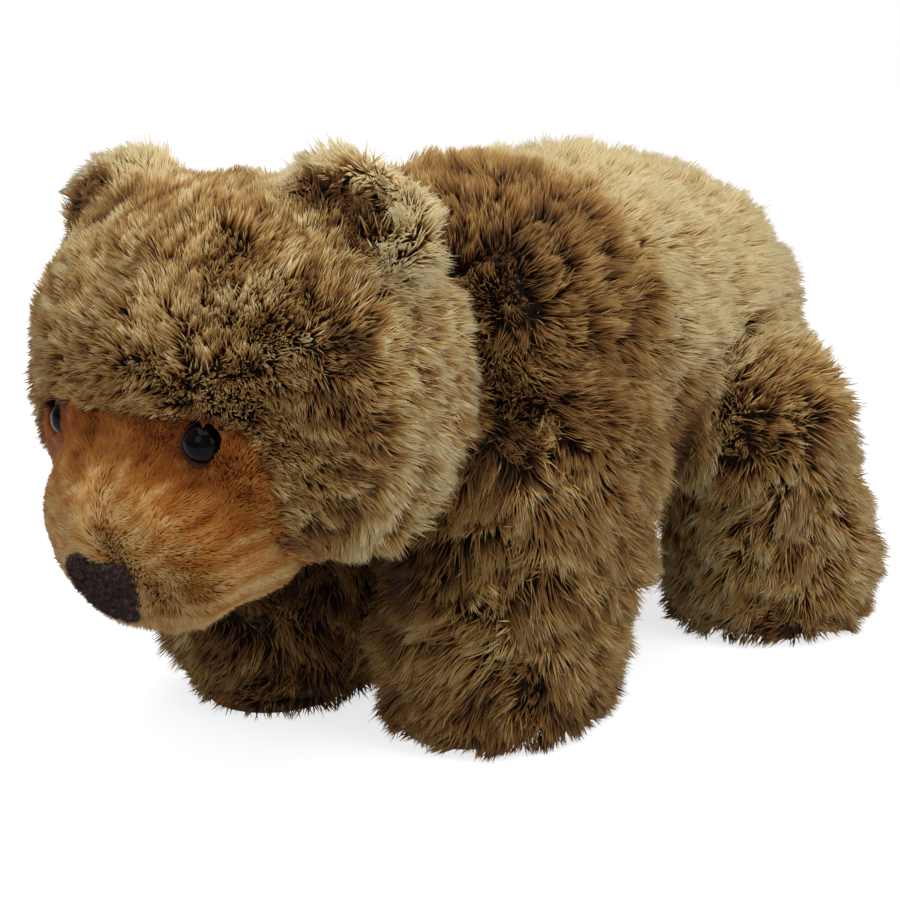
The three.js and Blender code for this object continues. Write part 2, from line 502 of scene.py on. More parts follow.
@dataclass(frozen=True)
class PileFinish:
    """Acrylic plush pile, tip-dyed: each fibre runs from a dark root to a pale tip.

    To the eye it is a matt, soft colour that darkens between the tufts and glows a little at grazing angles.
    """

    name: str
    colours: tuple[tuple[float, str], ...]   # place along the fibre, from root to tip, and its colour
    mottle: float                            # mm across a patch of dye that took more or less
    mottle_depth: float
    tuft_depth: float                        # how much one tuft's colour may run ahead of the next
    start: float = 0.0                       # where on the ramp a fibre's root is, with no shade
    end: float = 1.0                         # the same for its tip
    roughness: float = 0.62
    specular: float = 0.25
    sheen: float = 0.10
    sheen_roughness: float = 0.4
    sheen_tint: str = "#ecc88c"

    def material(self) -> Material:
        """Builds the node material.

        Returns:
            The material, which reads the attributes along, tone and shade of the coat.
        """
        made, tree, shader = new_material(self.name)
        along, tone, shade = (add_node(tree, "ShaderNodeAttribute", attribute_name=name)
                              for name in ("along", "tone", "shade"))
        place = add_node(tree, "ShaderNodeTexCoord")
        mottle = add_node(tree, "ShaderNodeTexNoise", {
            "Vector": place.outputs["Object"], "Scale": 1 / (self.mottle * MM), "Detail": 2.0})
        patch = add_node(tree, "ShaderNodeMath", {
            0: mottle.outputs["Fac"], 1: 2 * self.mottle_depth, 2: -self.mottle_depth},
            operation="MULTIPLY_ADD")
        tuft = add_node(tree, "ShaderNodeMath", {
            0: tone.outputs["Fac"], 1: 2 * self.tuft_depth, 2: patch.outputs[0]}, operation="MULTIPLY_ADD")
        run = add_node(tree, "ShaderNodeMath", {
            0: along.outputs["Fac"], 1: self.end - self.start, 2: self.start}, operation="MULTIPLY_ADD")
        lifted = add_node(tree, "ShaderNodeMath", {0: run.outputs[0], 1: tuft.outputs[0]}, operation="ADD")
        dimmed = add_node(tree, "ShaderNodeMath", {0: lifted.outputs[0], 1: shade.outputs["Fac"]},
                          operation="SUBTRACT")
        centred = add_node(tree, "ShaderNodeMath", {0: dimmed.outputs[0], 1: self.tuft_depth},
                           operation="SUBTRACT", use_clamp=True)
        dye = add_node(tree, "ShaderNodeValToRGB", {0: centred.outputs[0]}, stops=list(self.colours))
        tree.links.new(dye.outputs[0], shader.inputs["Base Color"])
        shader.inputs["Roughness"].default_value = self.roughness
        shader.inputs["Sheen Weight"].default_value = self.sheen
        shader.inputs["Sheen Roughness"].default_value = self.sheen_roughness
        shader.inputs["Sheen Tint"].default_value = linear(self.sheen_tint)
        shader.inputs["Specular IOR Level"].default_value = self.specular
        return made


@dataclass(frozen=True)
class BackingFinish:
    """Knitted backing cloth of the plush, dyed like the pile's roots.

    To the eye it is the dark ground that shows where tufts part, with the knit's fine rows.
    """

    name: str
    low: str
    high: str
    patch: float = 9       # mm across a patch that took more or less dye
    knit: float = 1.1      # mm between rows, drawn about twice as coarse as real so that it shows
    bump: float = 0.3      # mm that the rows stand up
    bump_strength: float = 0.6
    roughness: float = 0.9

    ROWS_IN_ONE = 0.31     # a wave texture's scale when its crests stand about one unit apart

    def material(self) -> Material:
        """Builds the node material.

        Returns:
            The material.
        """
        made, tree, shader = new_material(self.name)
        place = add_node(tree, "ShaderNodeTexCoord")
        patches = add_node(tree, "ShaderNodeTexNoise", {
            "Vector": place.outputs["Object"], "Scale": 1 / (self.patch * MM), "Detail": 4.0})
        dye = add_node(tree, "ShaderNodeValToRGB", {0: patches.outputs["Fac"]},
                       stops=[(0.35, self.low), (0.7, self.high)])
        rows = add_node(tree, "ShaderNodeTexWave", {
            "Vector": place.outputs["Object"], "Scale": self.ROWS_IN_ONE / (self.knit * MM),
            "Distortion": 1.5, "Detail": 2.0}, bands_direction="DIAGONAL")
        bump = add_node(tree, "ShaderNodeBump", {
            "Height": rows.outputs["Fac"], "Distance": self.bump * MM, "Strength": self.bump_strength})
        tree.links.new(dye.outputs[0], shader.inputs["Base Color"])
        tree.links.new(bump.outputs[0], shader.inputs["Normal"])
        shader.inputs["Roughness"].default_value = self.roughness
        return made


@dataclass(frozen=True)
class FeltFinish:
    """Pressed wool felt: matt, with lighter fibre lumps over a darker ground."""

    name: str
    colours: tuple[tuple[float, str], ...]
    lump: float            # mm across a lump of fibre
    depth: float           # mm that the lumps stand up
    sheen: float
    sheen_tint: str
    fine: float = 0.62     # how strongly the finest lumps show
    roughness: float = 0.88
    specular: float = 0.2

    def material(self) -> Material:
        """Builds the node material.

        Returns:
            The material.
        """
        made, tree, shader = new_material(self.name)
        place = add_node(tree, "ShaderNodeTexCoord")
        lumps = add_node(tree, "ShaderNodeTexNoise", {
            "Vector": place.outputs["Object"], "Scale": 1 / (self.lump * MM), "Detail": 6.0,
            "Roughness": self.fine})
        dye = add_node(tree, "ShaderNodeValToRGB", {0: lumps.outputs["Fac"]}, stops=list(self.colours))
        bump = add_node(tree, "ShaderNodeBump", {"Height": lumps.outputs["Fac"],
                                                 "Distance": self.depth * MM})
        tree.links.new(dye.outputs[0], shader.inputs["Base Color"])
        tree.links.new(bump.outputs[0], shader.inputs["Normal"])
        shader.inputs["Roughness"].default_value = self.roughness
        shader.inputs["Specular IOR Level"].default_value = self.specular
        shader.inputs["Sheen Weight"].default_value = self.sheen
        shader.inputs["Sheen Tint"].default_value = linear(self.sheen_tint)
        return made


@dataclass(frozen=True)
class AcrylicFinish:
    """Moulded black acrylic of a safety eye: a glassy dome with sharp highlights and faint fine scuffs."""

    name: str = "moulded_black_acrylic"
    low: str = "#030303"
    high: str = "#0a0807"
    haze: float = 3                # mm across a patch of haze
    roughness: float = 0.03        # of the clear gloss
    scuffed: float = 0.05          # how much rougher the haziest patch is
    refraction: float = 1.49
    specular: float = 0.07

    def material(self) -> Material:
        """Builds the node material.

        Returns:
            The material.
        """
        made, tree, shader = new_material(self.name)
        place = add_node(tree, "ShaderNodeTexCoord")
        haze = add_node(tree, "ShaderNodeTexNoise", {
            "Vector": place.outputs["Object"], "Scale": 1 / (self.haze * MM), "Detail": 3.0})
        tint = add_node(tree, "ShaderNodeValToRGB", {0: haze.outputs["Fac"]},
                        stops=[(0.3, self.low), (0.75, self.high)])
        scuff = add_node(tree, "ShaderNodeMath", {
            0: haze.outputs["Fac"], 1: self.scuffed, 2: self.roughness}, operation="MULTIPLY_ADD")
        tree.links.new(tint.outputs[0], shader.inputs["Base Color"])
        tree.links.new(scuff.outputs[0], shader.inputs["Roughness"])
        shader.inputs["IOR"].default_value = self.refraction
        shader.inputs["Specular IOR Level"].default_value = self.specular
        return made


LONG_PILE = PileFinish(
    "acrylic_long_pile_tip_dyed",
    ((0.0, "#38221a"), (0.24, "#4c3019"), (0.42, "#754a20"), (0.6, "#a2753a"), (0.8, "#cca664"),
     (1.0, "#ecd8a6")),
    mottle=11, mottle_depth=0.13, tuft_depth=0.11)
SHORT_PILE = PileFinish(
    "acrylic_short_pile_rust",
    ((0.0, "#642c0e"), (0.2, "#864010"), (0.45, "#a95b1a"), (0.65, "#bd752a"), (0.85, "#d09446"),
     (1.0, "#e8c080")),
    mottle=14, mottle_depth=0.08, tuft_depth=0.07, start=0.34, end=0.88)
DARK_BACKING = BackingFinish("knitted_backing_dark", "#2a1a10", "#44301e")
RUST_BACKING = BackingFinish("knitted_backing_rust", "#a55f28", "#bd7a3a")
SOLE_BACKING = BackingFinish("knitted_sole_tan", "#5c3f20", "#8a6737")
NOSE_FELT = FeltFinish("pressed_felt_aubergine",
                       ((0.36, "#120c0b"), (0.5, "#281a18"), (0.64, "#5e4642")), lump=1.5, depth=0.5,
                       sheen=0.28, sheen_tint="#b09a92")
DISC_FELT = FeltFinish("pressed_felt_oxblood",
                       ((0.3, "#1c0d08"), (0.55, "#3a1a10"), (0.8, "#5a2b1a")), lump=1.6, depth=0.2,
                       sheen=0.05, sheen_tint="#a05030")
EYE_ACRYLIC = AcrylicFinish()


# ---------------------------------------------------------------- pile


@dataclass(frozen=True)
class Pile:
    """How the pile of one panel stands. Lengths are mm and leans are degrees away from upright."""

    length: float
    lean_root: float
    lean_tip: float
    width: float           # of one fibre bundle, drawn thicker than real fibre so that it shows
    density: float         # bundles on a square mm of backing
    tuft: float            # between one tuft and the next
    gather: float          # how far a tuft's bundles close up at the tip, 0 to 1
    lock: float            # the same for a lock, which is made of several tufts
    wave: float            # sideways wave
    loose: float           # how much its bundles differ in lean, turn and length: 1 is ruffled
    lift: float            # height of the coat as a share of its length


BODY_PILE = Pile(14.5, 10, 52, 0.31, 2.45, 3.0, 0.40, 0.32, 0.8, 0.95, 0.80)
HEAD_PILE = Pile(9.5, 14, 54, 0.26, 3.80, 2.6, 0.42, 0.34, 0.4, 0.9, 0.76)
EAR_PILE = Pile(12.0, 26, 64, 0.28, 3.40, 3.8, 0.56, 0.52, 2.2, 1.1, 0.40)
LEG_PILE = Pile(17.0, 22, 66, 0.32, 1.90, 4.0, 0.52, 0.42, 2.4, 1.05, 0.66)
TAIL_PILE = Pile(12.0, 12, 44, 0.32, 2.40, 3.0, 0.44, 0.35, 0.7, 1.0, 0.52)
MUZZLE_PILE = Pile(5.2, 46, 70, 0.28, 7.80, 1.8, 0.12, 0.08, 0.0, 0.45, 0.50)
PILES = {Panel.HEAD: HEAD_PILE, Panel.MUZZLE: MUZZLE_PILE, Panel.NECK: BODY_PILE, Panel.TRUNK: BODY_PILE,
         Panel.TAIL: TAIL_PILE, **{ear: EAR_PILE for ear in EARS}, **{leg: LEG_PILE for leg in LEGS}}


@dataclass(frozen=True)
class Whorl:
    """A place where the pile stands straight up and parts to all sides, once on each of the toy's sides."""

    centre: tuple[float, float, float]   # mm from the origin, on the left side
    core: float                          # mm from the centre to where the pile leans most
    reach: float                         # mm from the centre to where it lies as it does elsewhere
    lean: float                          # degrees of the most lean, at the tip
    shade: float                         # painted shade: how much darker the parted pile looks
    root_share: float = 0.5              # the root's lean against the tip's

    def away(self, points: Array) -> tuple[Array, Array]:
        """How places stand to the whorl.

        Args:
            points: places in metres.

        Returns:
            Each one's way from the centre, in mm, and the whorl's weight there from 0 to 1.
        """
        mirrored = np.where(points[:, :1] < 0, -1.0, 1.0) * np.array([self.centre[0]])
        centre = np.concatenate([mirrored, np.tile(self.centre[1:], (len(points), 1))], axis=1)
        away = points / MM - centre
        return away, 1 - ease(lengths_of(away), self.core, self.reach)


SHOULDER_WHORL = Whorl((48, -19, 141), 34, 58, 46, 0.19)
HAUNCH_WHORL = Whorl((67, 75, 92), 18, 40, 44, 0.12)


@dataclass(frozen=True)
class Partings:
    """Short lines where the pile falls to both sides and shows its dark roots, with painted shade along them.
    """

    apart: float           # mm between one line and the next
    along: float           # mm of a line's usual length
    width: float           # mm to each side that looks dark
    reach: float           # mm to each side where the pile leans away
    turn: float            # how hard it leans away, against the way it lies elsewhere
    # painted shade along the lines
    shade: float
    seed: int
    ends: Step = Step(-0.1, 0.8)   # of the noise that cuts the lines short

    def at(self, places: Array, points: Array) -> tuple[Array, Array]:
        """The partings round each point.

        Args:
            places: where the pattern is read; drawn together along the pile, so that lines follow it.
            points: the points themselves.

        Returns:
            The distance to the nearest line in mm, below 0 on one of its sides, and a weight from 0 to 1
            that is 0 between the lines' ends.
        """
        lines, ends = Waves(2 * self.apart, self.seed), Waves(2 * self.along, self.seed + 1)
        slope = 2 * math.pi / (2 * self.apart)
        return lines.at(places) / slope, self.ends.of(ends.at(points))


Settings = dict[str, Array]   # the pile's settings at each vertex of the skin, by name, as columns
CHANGING = tuple(item.name for item in fields(Pile) if item.name != "lift")


@dataclass
class PileMap:
    """How the pile stands all over the skin."""

    numbers: Settings
    lie: Array        # a unit vector along the skin for each vertex


# ---------------------------------------------------------------- skin


@dataclass
class Skin:
    """The sewn and stuffed backing cloth: one closed surface under the coat."""

    weld: float = 0.45             # that each panel grows by, so that neighbours join
    mesh_size: float = 3.8         # of the cloth's squares before it is subdivided
    even: int = 3                  # rounds of smoothing of the joined panels
    inset_steps: int = 6
    foot: Step = Step(8, 34)       # height over which the foot's coat turns into the leg's
    foot_depth: float = 0.58       # the foot's coat against the leg's
    rump_from: float = 60          # the rump's start and its full width, ahead of the trunk's end
    rump_to: float = 20
    rump_out: float = 2.5          # how much less the rump is set in
    down: Step = Step(0.35, 0.85)  # how far a face looks down to be under a foot
    floor: Step = Step(6, 14)      # height over which that stops counting
    swell: float = 1.2             # the most that the stuffing pushes the cloth out between seams
    stuffing_pressure: float = 4.0
    stuffing_frames: int = 14
    stiffness: float = 12
    pinned_height: float = 8       # over the floor, below which the cloth can't swell
    seam_half_width: float = 13.0  # from the face's middle to each seam of the muzzle's top strip
    seam_narrows: float = 0.18     # how much closer they come at the nose
    seam_run: Step = Step(0.2, 0.95)   # over which they do, as a share of the muzzle's length
    seam_end: float = 6            # how far over and under the muzzle's middle they fade out
    seam_depth: float = 0.6
    seam_reach: float = 3.2
    sole_clear: float = 3.0        # height over the floor where the legs' cloth ends
    panel: Array = field(init=False)
    depth: Array = field(init=False)
    surface: Surface = field(init=False)
    obj: Object = field(init=False)

    NO_SEAM = 100                  # a distance in mm at which a seam isn't felt

    def build(self) -> None:
        """Joins the panels, insets them by the coat's depth and stuffs them."""
        self.obj = linked_object("skin", self.joined_panels())
        remesh(self.obj, self.mesh_size)
        self.surface = Surface(self.obj.data)
        self.panel = self.nearest_panels(self.surface.points)
        self.inset()
        self.stuff()
        self.refine()
        self.sink_muzzle_seams()

    def joined_panels(self) -> Mesh:
        """Puts all plush nodes together, each grown by the weld.

        Returns:
            One mesh of closed shells.
        """
        whole = bmesh.new()
        for panel in PANELS:
            shape = merged_copy(panel.value)
            for vertex in shape.verts:
                vertex.co += vertex.normal * self.weld * MM
            part = bpy.data.meshes.new(panel.value + "_grown")
            shape.to_mesh(part)
            shape.free()
            whole.from_mesh(part)
            bpy.data.meshes.remove(part)
        joined = bpy.data.meshes.new("skin")
        whole.to_mesh(joined)
        whole.free()
        return joined

    def nearest_panels(self, points: Array) -> Array:
        """Tells which panel's frame node each point is nearest to.

        Args:
            points: places in metres.

        Returns:
            The panels' numbers.
        """
        corners, faces, owner = [], [], []
        for number, panel in enumerate(PANELS):
            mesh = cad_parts[panel.value].data
            start = len(corners)
            corners += [vertex.co.copy() for vertex in mesh.vertices]
            faces += [[start + i for i in face.vertices] for face in mesh.polygons]
            owner += [number] * len(mesh.polygons)
        tree = BVHTree.FromPolygons(corners, faces)
        return np.array([owner[tree.find_nearest(Vector(point))[2]] for point in points])

    def of_panels(self, values: dict[Panel, float]) -> Array:
        """One value for each vertex, by its panel, as a column."""
        return np.array([values[panel] for panel in PANELS], float)[self.panel][:, None]

    def on(self, *panels: Panel) -> Array:
        """Whether each vertex is on one of the panels."""
        return np.isin(self.panel, [PANELS.index(panel) for panel in panels])

    def inset(self) -> None:
        """Moves the surface in by the coat's depth, a little at a time so that folds don't cross."""
        surface = self.surface
        surface.move(surface.smooth(surface.points, self.even))
        depth = self.of_panels({panel: pile.length * pile.lift for panel, pile in PILES.items()})
        points, normals = surface.points, surface.normals
        on_leg = self.on(*LEGS)[:, None]
        foot = 1 - self.foot.along(points[:, 2:])
        depth = np.where(on_leg, blend(depth, depth * self.foot_depth, foot), depth)
        end = box_of("trunk")[1][1]
        rump = ease(points[:, 1:2], end - self.rump_from * MM, end - self.rump_to * MM)
        depth = np.where(on_leg, depth, depth - self.rump_out * rump * self.on(Panel.TRUNK)[:, None])
        under = self.down.of(-normals[:, 2:]) * (1 - self.floor.along(points[:, 2:]))
        depth = np.where(on_leg, depth * (1 - under), depth)
        self.depth = depth = surface.smooth(depth, 3)
        for _ in range(self.inset_steps):
            normals = unit(surface.smooth(surface.normals, 2))
            surface.move(surface.points - normals * depth * MM / self.inset_steps)
        lifted = surface.points.copy()
        lifted[:, 2] = np.maximum(lifted[:, 2], self.sole_clear * MM)
        surface.move(lifted)

    def seam_vertices(self) -> Array:
        """Finds the sewn seams and the undersides of the feet, where the cloth can't swell.

        Returns:
            Whether each vertex lies there.
        """
        group = np.where(self.on(Panel.NECK, Panel.TRUNK), -1, self.panel)
        first, second = self.surface.edges.T
        crossing = group[first] != group[second]
        pinned = np.zeros(self.surface.count, bool)
        pinned[first[crossing]] = pinned[second[crossing]] = True
        return pinned | (self.surface.points[:, 2] < self.pinned_height * MM)

    def stuff(self) -> None:
        """Blows the cloth out between its seams under pressure, as stuffing does."""
        group = self.obj.vertex_groups.new(name="seams")
        group.add([int(i) for i in np.flatnonzero(self.seam_vertices())], 1.0, "REPLACE")
        cloth = self.obj.modifiers.new("stuffing", "CLOTH")
        cloth.settings.vertex_group_mass = group.name
        cloth.settings.use_pressure = True
        cloth.settings.uniform_pressure_force = self.stuffing_pressure
        cloth.settings.effector_weights.gravity = 0
        cloth.settings.tension_stiffness = cloth.settings.compression_stiffness = self.stiffness
        cloth.point_cache.frame_start, cloth.point_cache.frame_end = 1, self.stuffing_frames
        for number in range(1, self.stuffing_frames + 1):
            bpy.context.scene.frame_set(number)
        rest = self.surface.points.copy()
        swollen = Surface(evaluated_mesh(self.obj)).points
        self.obj.modifiers.clear()
        self.obj.vertex_groups.clear()
        bpy.context.scene.frame_set(1)
        push = swollen - rest
        size = np.maximum(lengths_of(push), 1e-9)
        push = push * np.minimum(1, self.swell * MM / size)
        self.surface.move(rest + self.surface.smooth(push, 2))
        LOG.info("skin swells by %.2f mm at most", size.max() / MM)

    def refine(self) -> None:
        """Subdivides the cloth once, and finds the panels of the new vertices."""
        coarse, panel = self.surface.points.copy(), self.panel
        finer = self.obj.modifiers.new("finer", "SUBSURF")
        finer.levels = finer.render_levels = 1
        settle(self.obj)
        self.surface = Surface(self.obj.data)
        tree = tree_of(coarse, range(len(coarse)))
        nearest = np.array([tree.find(point)[1] for point in self.surface.points])
        self.panel = panel[nearest]
        face = np.flatnonzero(self.on(Panel.HEAD, Panel.MUZZLE))
        outside = self.surface.points + self.surface.normals * self.depth[nearest] * MM
        nearer = self.nearest_panels(outside[face])
        known = np.isin(nearer, [PANELS.index(Panel.HEAD), PANELS.index(Panel.MUZZLE)])
        self.panel[face[known]] = nearer[known]

    def seam_distance(self, points: Array) -> Array:
        """How far each point is from the nearer of the muzzle's two top seams, in mm, as a column.

        Args:
            points: places in metres.

        Returns:
            The distances, and a large number below the seams.
        """
        low, high = box_of("muzzle")
        middle = (low + high) / 2
        across = (points[:, :1] - middle[:1]) / MM
        forward = (high[1] - points[:, 1:2]) / (high[1] - low[1])
        top = ease(points[:, 2:], middle[2] - self.seam_end * MM, middle[2] + self.seam_end * MM)
        spread = self.seam_half_width * (1 - self.seam_narrows * self.seam_run.of(forward))
        return np.abs(np.abs(across) - spread) + (1 - top) * self.NO_SEAM

    def sink_muzzle_seams(self) -> None:
        """Pulls the cloth in along the muzzle's two top seams."""
        surface = self.surface
        on_muzzle = self.on(Panel.MUZZLE)[:, None]
        sink = bell(self.seam_distance(surface.points), self.seam_reach) * on_muzzle
        surface.move(surface.points - surface.normals * sink * self.seam_depth * MM)

    def dress(self) -> None:
        corners = self.surface.quads()
        short = self.on(Panel.MUZZLE)[corners].mean(1) > 0.5
        dress(self.obj, tuple(panel.value for panel in PANELS),
              (DARK_BACKING.material(), RUST_BACKING.material()))
        self.obj.data.polygons.foreach_set("material_index", short.astype(np.int32))
        shade_smooth(self.obj.data)


# ---------------------------------------------------------------- how the pile changes from place to place


class Ground:
    """The skin's vertices, as the pile's settings are worked out over them."""

    def __init__(self, skin: Skin) -> None:
        """Reads the skin.

        Args:
            skin: the finished skin.
        """
        self.skin = skin
        self.points, self.normals = skin.surface.points, skin.surface.normals
        self.known: dict[str, Array] = {}

    def on(self, *panels: Panel) -> Array:
        """Whether each vertex is on one of the panels, as a column."""
        return self.skin.on(*panels)[:, None]

    def near(self, name: str) -> Array:
        """Each vertex's distance from a frame node's surface, in mm, as a column."""
        if name not in self.known:
            self.known[name] = distance_from(name, self.points)
        return self.known[name]

    def between_legs(self) -> Array:
        """How far in between the legs each vertex is, above the feet."""
        aside, up = Step(30, 52), Step(30, 55)
        return (1 - aside.along(np.abs(self.points[:, :1]))) * up.along(self.points[:, 2:])


@dataclass(frozen=True)
class HeadCoat:
    """How the head's pile changes: short on the brow, long on the cheeks and in the ruff behind them.

    Places are mm from the head's centre. A shade is how much darker the pile looks there; the shades of the
    ear folds, the muzzle's rim, the groove and the crown are painted shade.
    """

    seam: float = -20              # y of the seam round the face
    seam_out: Step = Step(34, 52)  # how far to the side that seam counts
    past_seam: Step = Step(-1, 6)
    side: Step = Step(46, 60)      # the head's flat sides
    cheek_out: Step = Step(18, 46)
    cheek_up: Step = Step(-6, 26)
    cheek_share: float = 0.5       # how far the cheeks go towards the long pile
    ruff_back: Step = Step(0, 40)
    ruff_share: float = 0.8
    ruff_pale: float = 0.11
    brow_near: Step = Step(6, 22)  # from the muzzle
    brow_up: Step = Step(-22, -6)
    brow_shade: float = 0.06
    crease: float = 3.5            # width of the fold at an ear's foot, where the pile gets painted shade
    crease_back: Step = Step(0, 20)
    crease_painted_shade: float = 0.26
    rim: float = 6                 # width of the band round the muzzle, where the pile gets painted shade
    rim_cut: float = 0.25          # how much shorter the pile is there
    rim_painted_shade: float = 0.12
    groove: float = 4              # width of the hollow at the seam, and how far ahead of the seam it is; its pile gets painted shade
    groove_share: float = 0.8      # how deep it is on average, and how much that differs
    groove_uneven: Uneven = Uneven(0.3, 8, 61)
    groove_cut: float = 0.4
    groove_painted_shade: float = 0.28
    crown_up: Step = Step(25, 50)
    # painted shade over the crown
    crown_painted_shade: float = 0.05
    shade: float = 0.05            # over the whole head

    LONG_AND_BROW = (("length", 13.0, 7.5), ("tuft", 3.2, 2.4), ("gather", 0.45, 0.50),
                     ("lean_root", 20, 14), ("lean_tip", 60, 50), ("wave", 0.9, 0.9),
                     ("density", 2.8, 3.6), ("width", 0.36, 0.30))
    RUFF = (("gather", 0.6), ("lock", 0.5), ("loose", 1.1))

    def vary(self, values: Settings, ground: Ground) -> None:
        """Changes the settings on the head.

        Args:
            values: the pile's settings, changed in place.
            ground: the skin's vertices.
        """
        on_head = ground.on(Panel.HEAD)
        local = (ground.points - centre_of("head")) / MM
        out, back, up = np.abs(local[:, :1]), local[:, 1:2], local[:, 2:]
        seam = (back - self.seam) * self.seam_out.of(out)
        behind = self.past_seam.of(seam)
        cheek = self.cheek_out.of(out) * (1 - self.cheek_up.of(up)) * self.cheek_share
        longer = np.maximum.reduce([cheek, self.ruff_back.of(back) * self.ruff_share, behind]) * on_head
        brow = (1 - self.brow_near.of(ground.near("muzzle"))) * self.brow_up.of(up) * on_head
        for name, long, short in self.LONG_AND_BROW:
            values[name] = blend(blend(values[name], long, longer), short, brow)
        crease = sum(bell(ground.near(ear.value), self.crease) for ear in EARS)
        crease = crease * (1 - self.crease_back.of(back))
        rim = bell(ground.near("muzzle"), self.rim)
        values["length"] *= 1 - self.rim_cut * rim * (1 - brow) * on_head
        side = self.side.of(out)
        # painted shade in the hollow ahead of the face seam
        uneven = self.groove_share + self.groove_uneven.at(ground.points)
        groove = bell(seam + self.groove, self.groove) * side * uneven
        values["length"] *= 1 - self.groove_cut * groove * on_head
        # painted shade in the ear folds, along the muzzle's rim, in the groove and on the crown
        shade = (self.shade + self.brow_shade * brow + self.crease_painted_shade * crease + self.rim_painted_shade * rim
                 + self.groove_painted_shade * groove + self.crown_painted_shade * self.crown_up.of(up))
        shade = shade - self.ruff_pale * behind * side
        for name, there in self.RUFF:
            values[name] = blend(values[name], there, behind * side * on_head)
        values["shade"] = np.where(on_head, shade, values["shade"])


@dataclass(frozen=True)
class LegCoat:
    """How the legs' pile changes: shorter at the feet, darker on the feet, with painted shade on the legs'
    inner sides and between them.
    """

    foot: Step = Step(6, 34)       # height over which the foot's pile turns into the leg's
    foot_shade: float = 0.12
    inner: Step = Step(-0.1, 0.6)  # how far a face looks inwards
    inner_painted_shade: float = 0.16
    deep_painted_shade: float = 0.2
    front_shade: float = 0.11      # of the front legs alone
    front_foot_shade: float = 0.04
    sole_down: float = 0.92        # how far a face looks down to be a sole
    sole_height: float = 5

    FOOT = (("length", 12.0), ("tuft", 3.2), ("lean_root", 22), ("lean_tip", 62), ("width", 0.38),
            ("density", 1.5))

    def vary(self, values: Settings, ground: Ground) -> None:
        """Changes the settings on the legs.

        Args:
            values: the pile's settings, changed in place.
            ground: the skin's vertices.
        """
        points, normals = ground.points, ground.normals
        on_leg = ground.on(*LEGS)
        foot = (1 - self.foot.along(points[:, 2:])) * on_leg
        for name, there in self.FOOT:
            values[name] = blend(values[name], there, foot)
        inner = self.inner.of(-normals[:, :1] * np.sign(points[:, :1]))
        # painted shade on the legs' inner sides and between the legs
        dark = self.front_shade + self.front_foot_shade * foot + np.maximum(
            self.inner_painted_shade * inner, self.deep_painted_shade * ground.between_legs())
        front = ground.on(Panel.LEG_FRONT_LEFT, Panel.LEG_FRONT_RIGHT)
        values["shade"] += self.foot_shade * foot + dark * front
        sole = on_leg & (normals[:, 2:] < -self.sole_down) & (points[:, 2:] < self.sole_height * MM)
        values["density"] = np.where(sole, 0.0, values["density"])


@dataclass(frozen=True)
class MuzzleCoat:
    """How the short pile changes: rust round the eyes with painted shade under the brows, paler at the tip
    and the underside, and a painted highlight along the top edges.

    Places are shares of the muzzle's box: across it, from its front to its back, and up it.
    """

    tip_back: Step = Step(0.0, 0.2)
    tip_pale: float = 0.22
    under_up: Step = Step(0.1, 0.5)
    under_pale: float = 0.20
    # painted highlight along the muzzle's top edges
    brim_out: Step = Step(0.12, 0.3)
    brim_up: Step = Step(0.55, 0.7)
    brim_painted_highlight: float = 0.08
    rust_back: Step = Step(0.05, 0.3)
    rust_up: Step = Step(0.35, 0.7)
    rust_shade: float = 0.14
    socket: float = 15             # mm from the middle of the dark patch at an eye to where it fades; the patch is darker rust pile with painted shade under the brow
    socket_in: float = 0.7         # the patch's place across the face, as a share of the eye's
    socket_rust_and_painted_shade: float = 0.36
    rim: float = 3                 # mm across the band next to the head, where the pile gets painted shade
    rim_cut: float = 0.35          # how much shorter the pile is there
    rim_painted_shade: float = 0.10
    flat_back: Step = Step(0.1, 0.45)
    flat_up: Step = Step(0.25, 0.5)
    chin_up: Step = Step(0.06, 0.34)
    bridge_back: Step = Step(0.45, 0.7)
    bridge_up: Step = Step(0.6, 0.8)
    bridge_out: Step = Step(0.2, 0.3)

    # what the pile is where it lies flat above the nose, and where it stands under the chin and on the bridge
    FLAT_AND_STANDING = (("lean_root", 60, 24), ("lean_tip", 76, 50), ("loose", 0.35, 0.7),
                         ("gather", 0.08, 0.3), ("length", 5.2, 6.0))

    def vary(self, values: Settings, ground: Ground) -> None:
        """Changes the settings on the muzzle.

        Args:
            values: the pile's settings, changed in place.
            ground: the skin's vertices.
        """
        points, on_muzzle = ground.points, ground.on(Panel.MUZZLE)
        low, high = box_of("muzzle")
        share = (points - low) / (high - low)
        out, back, up = np.abs(share[:, :1] - 0.5), share[:, 1:2], share[:, 2:]
        tip = 1 - self.tip_back.of(back)
        under = 1 - self.under_up.of(up)
        brim = self.brim_out.of(out) * self.brim_up.of(up) * tip
        rust = self.rust_back.of(back) * self.rust_up.of(up)
        socket = 0
        for side in SIDES:
            eye = centre_of(f"eye_{side}") * np.array([self.socket_in, 1, 1])
            away = lengths_of(points - eye)
            socket = socket + bell(away, self.socket * MM)
        paler = (self.tip_pale * tip + self.under_pale * under + self.brim_painted_highlight * brim
                 - self.rust_shade * rust - self.socket_rust_and_painted_shade * socket)
        # painted shade in the band next to the head
        rim = bell(ground.near("head"), self.rim)
        values["shade"] = np.where(on_muzzle, self.rim_painted_shade * rim - paler, values["shade"])
        values["length"] *= 1 - self.rim_cut * rim * on_muzzle
        flat = (1 - self.flat_back.of(back)) * self.flat_up.of(up) * on_muzzle
        bridge = self.bridge_back.of(back) * self.bridge_up.of(up) * (1 - self.bridge_out.of(out))
        standing = np.maximum(1 - self.chin_up.of(up), bridge) * (1 - rim) * on_muzzle
        for name, lying, upright in self.FLAT_AND_STANDING:
            values[name] = blend(blend(values[name], lying, flat), upright, standing)


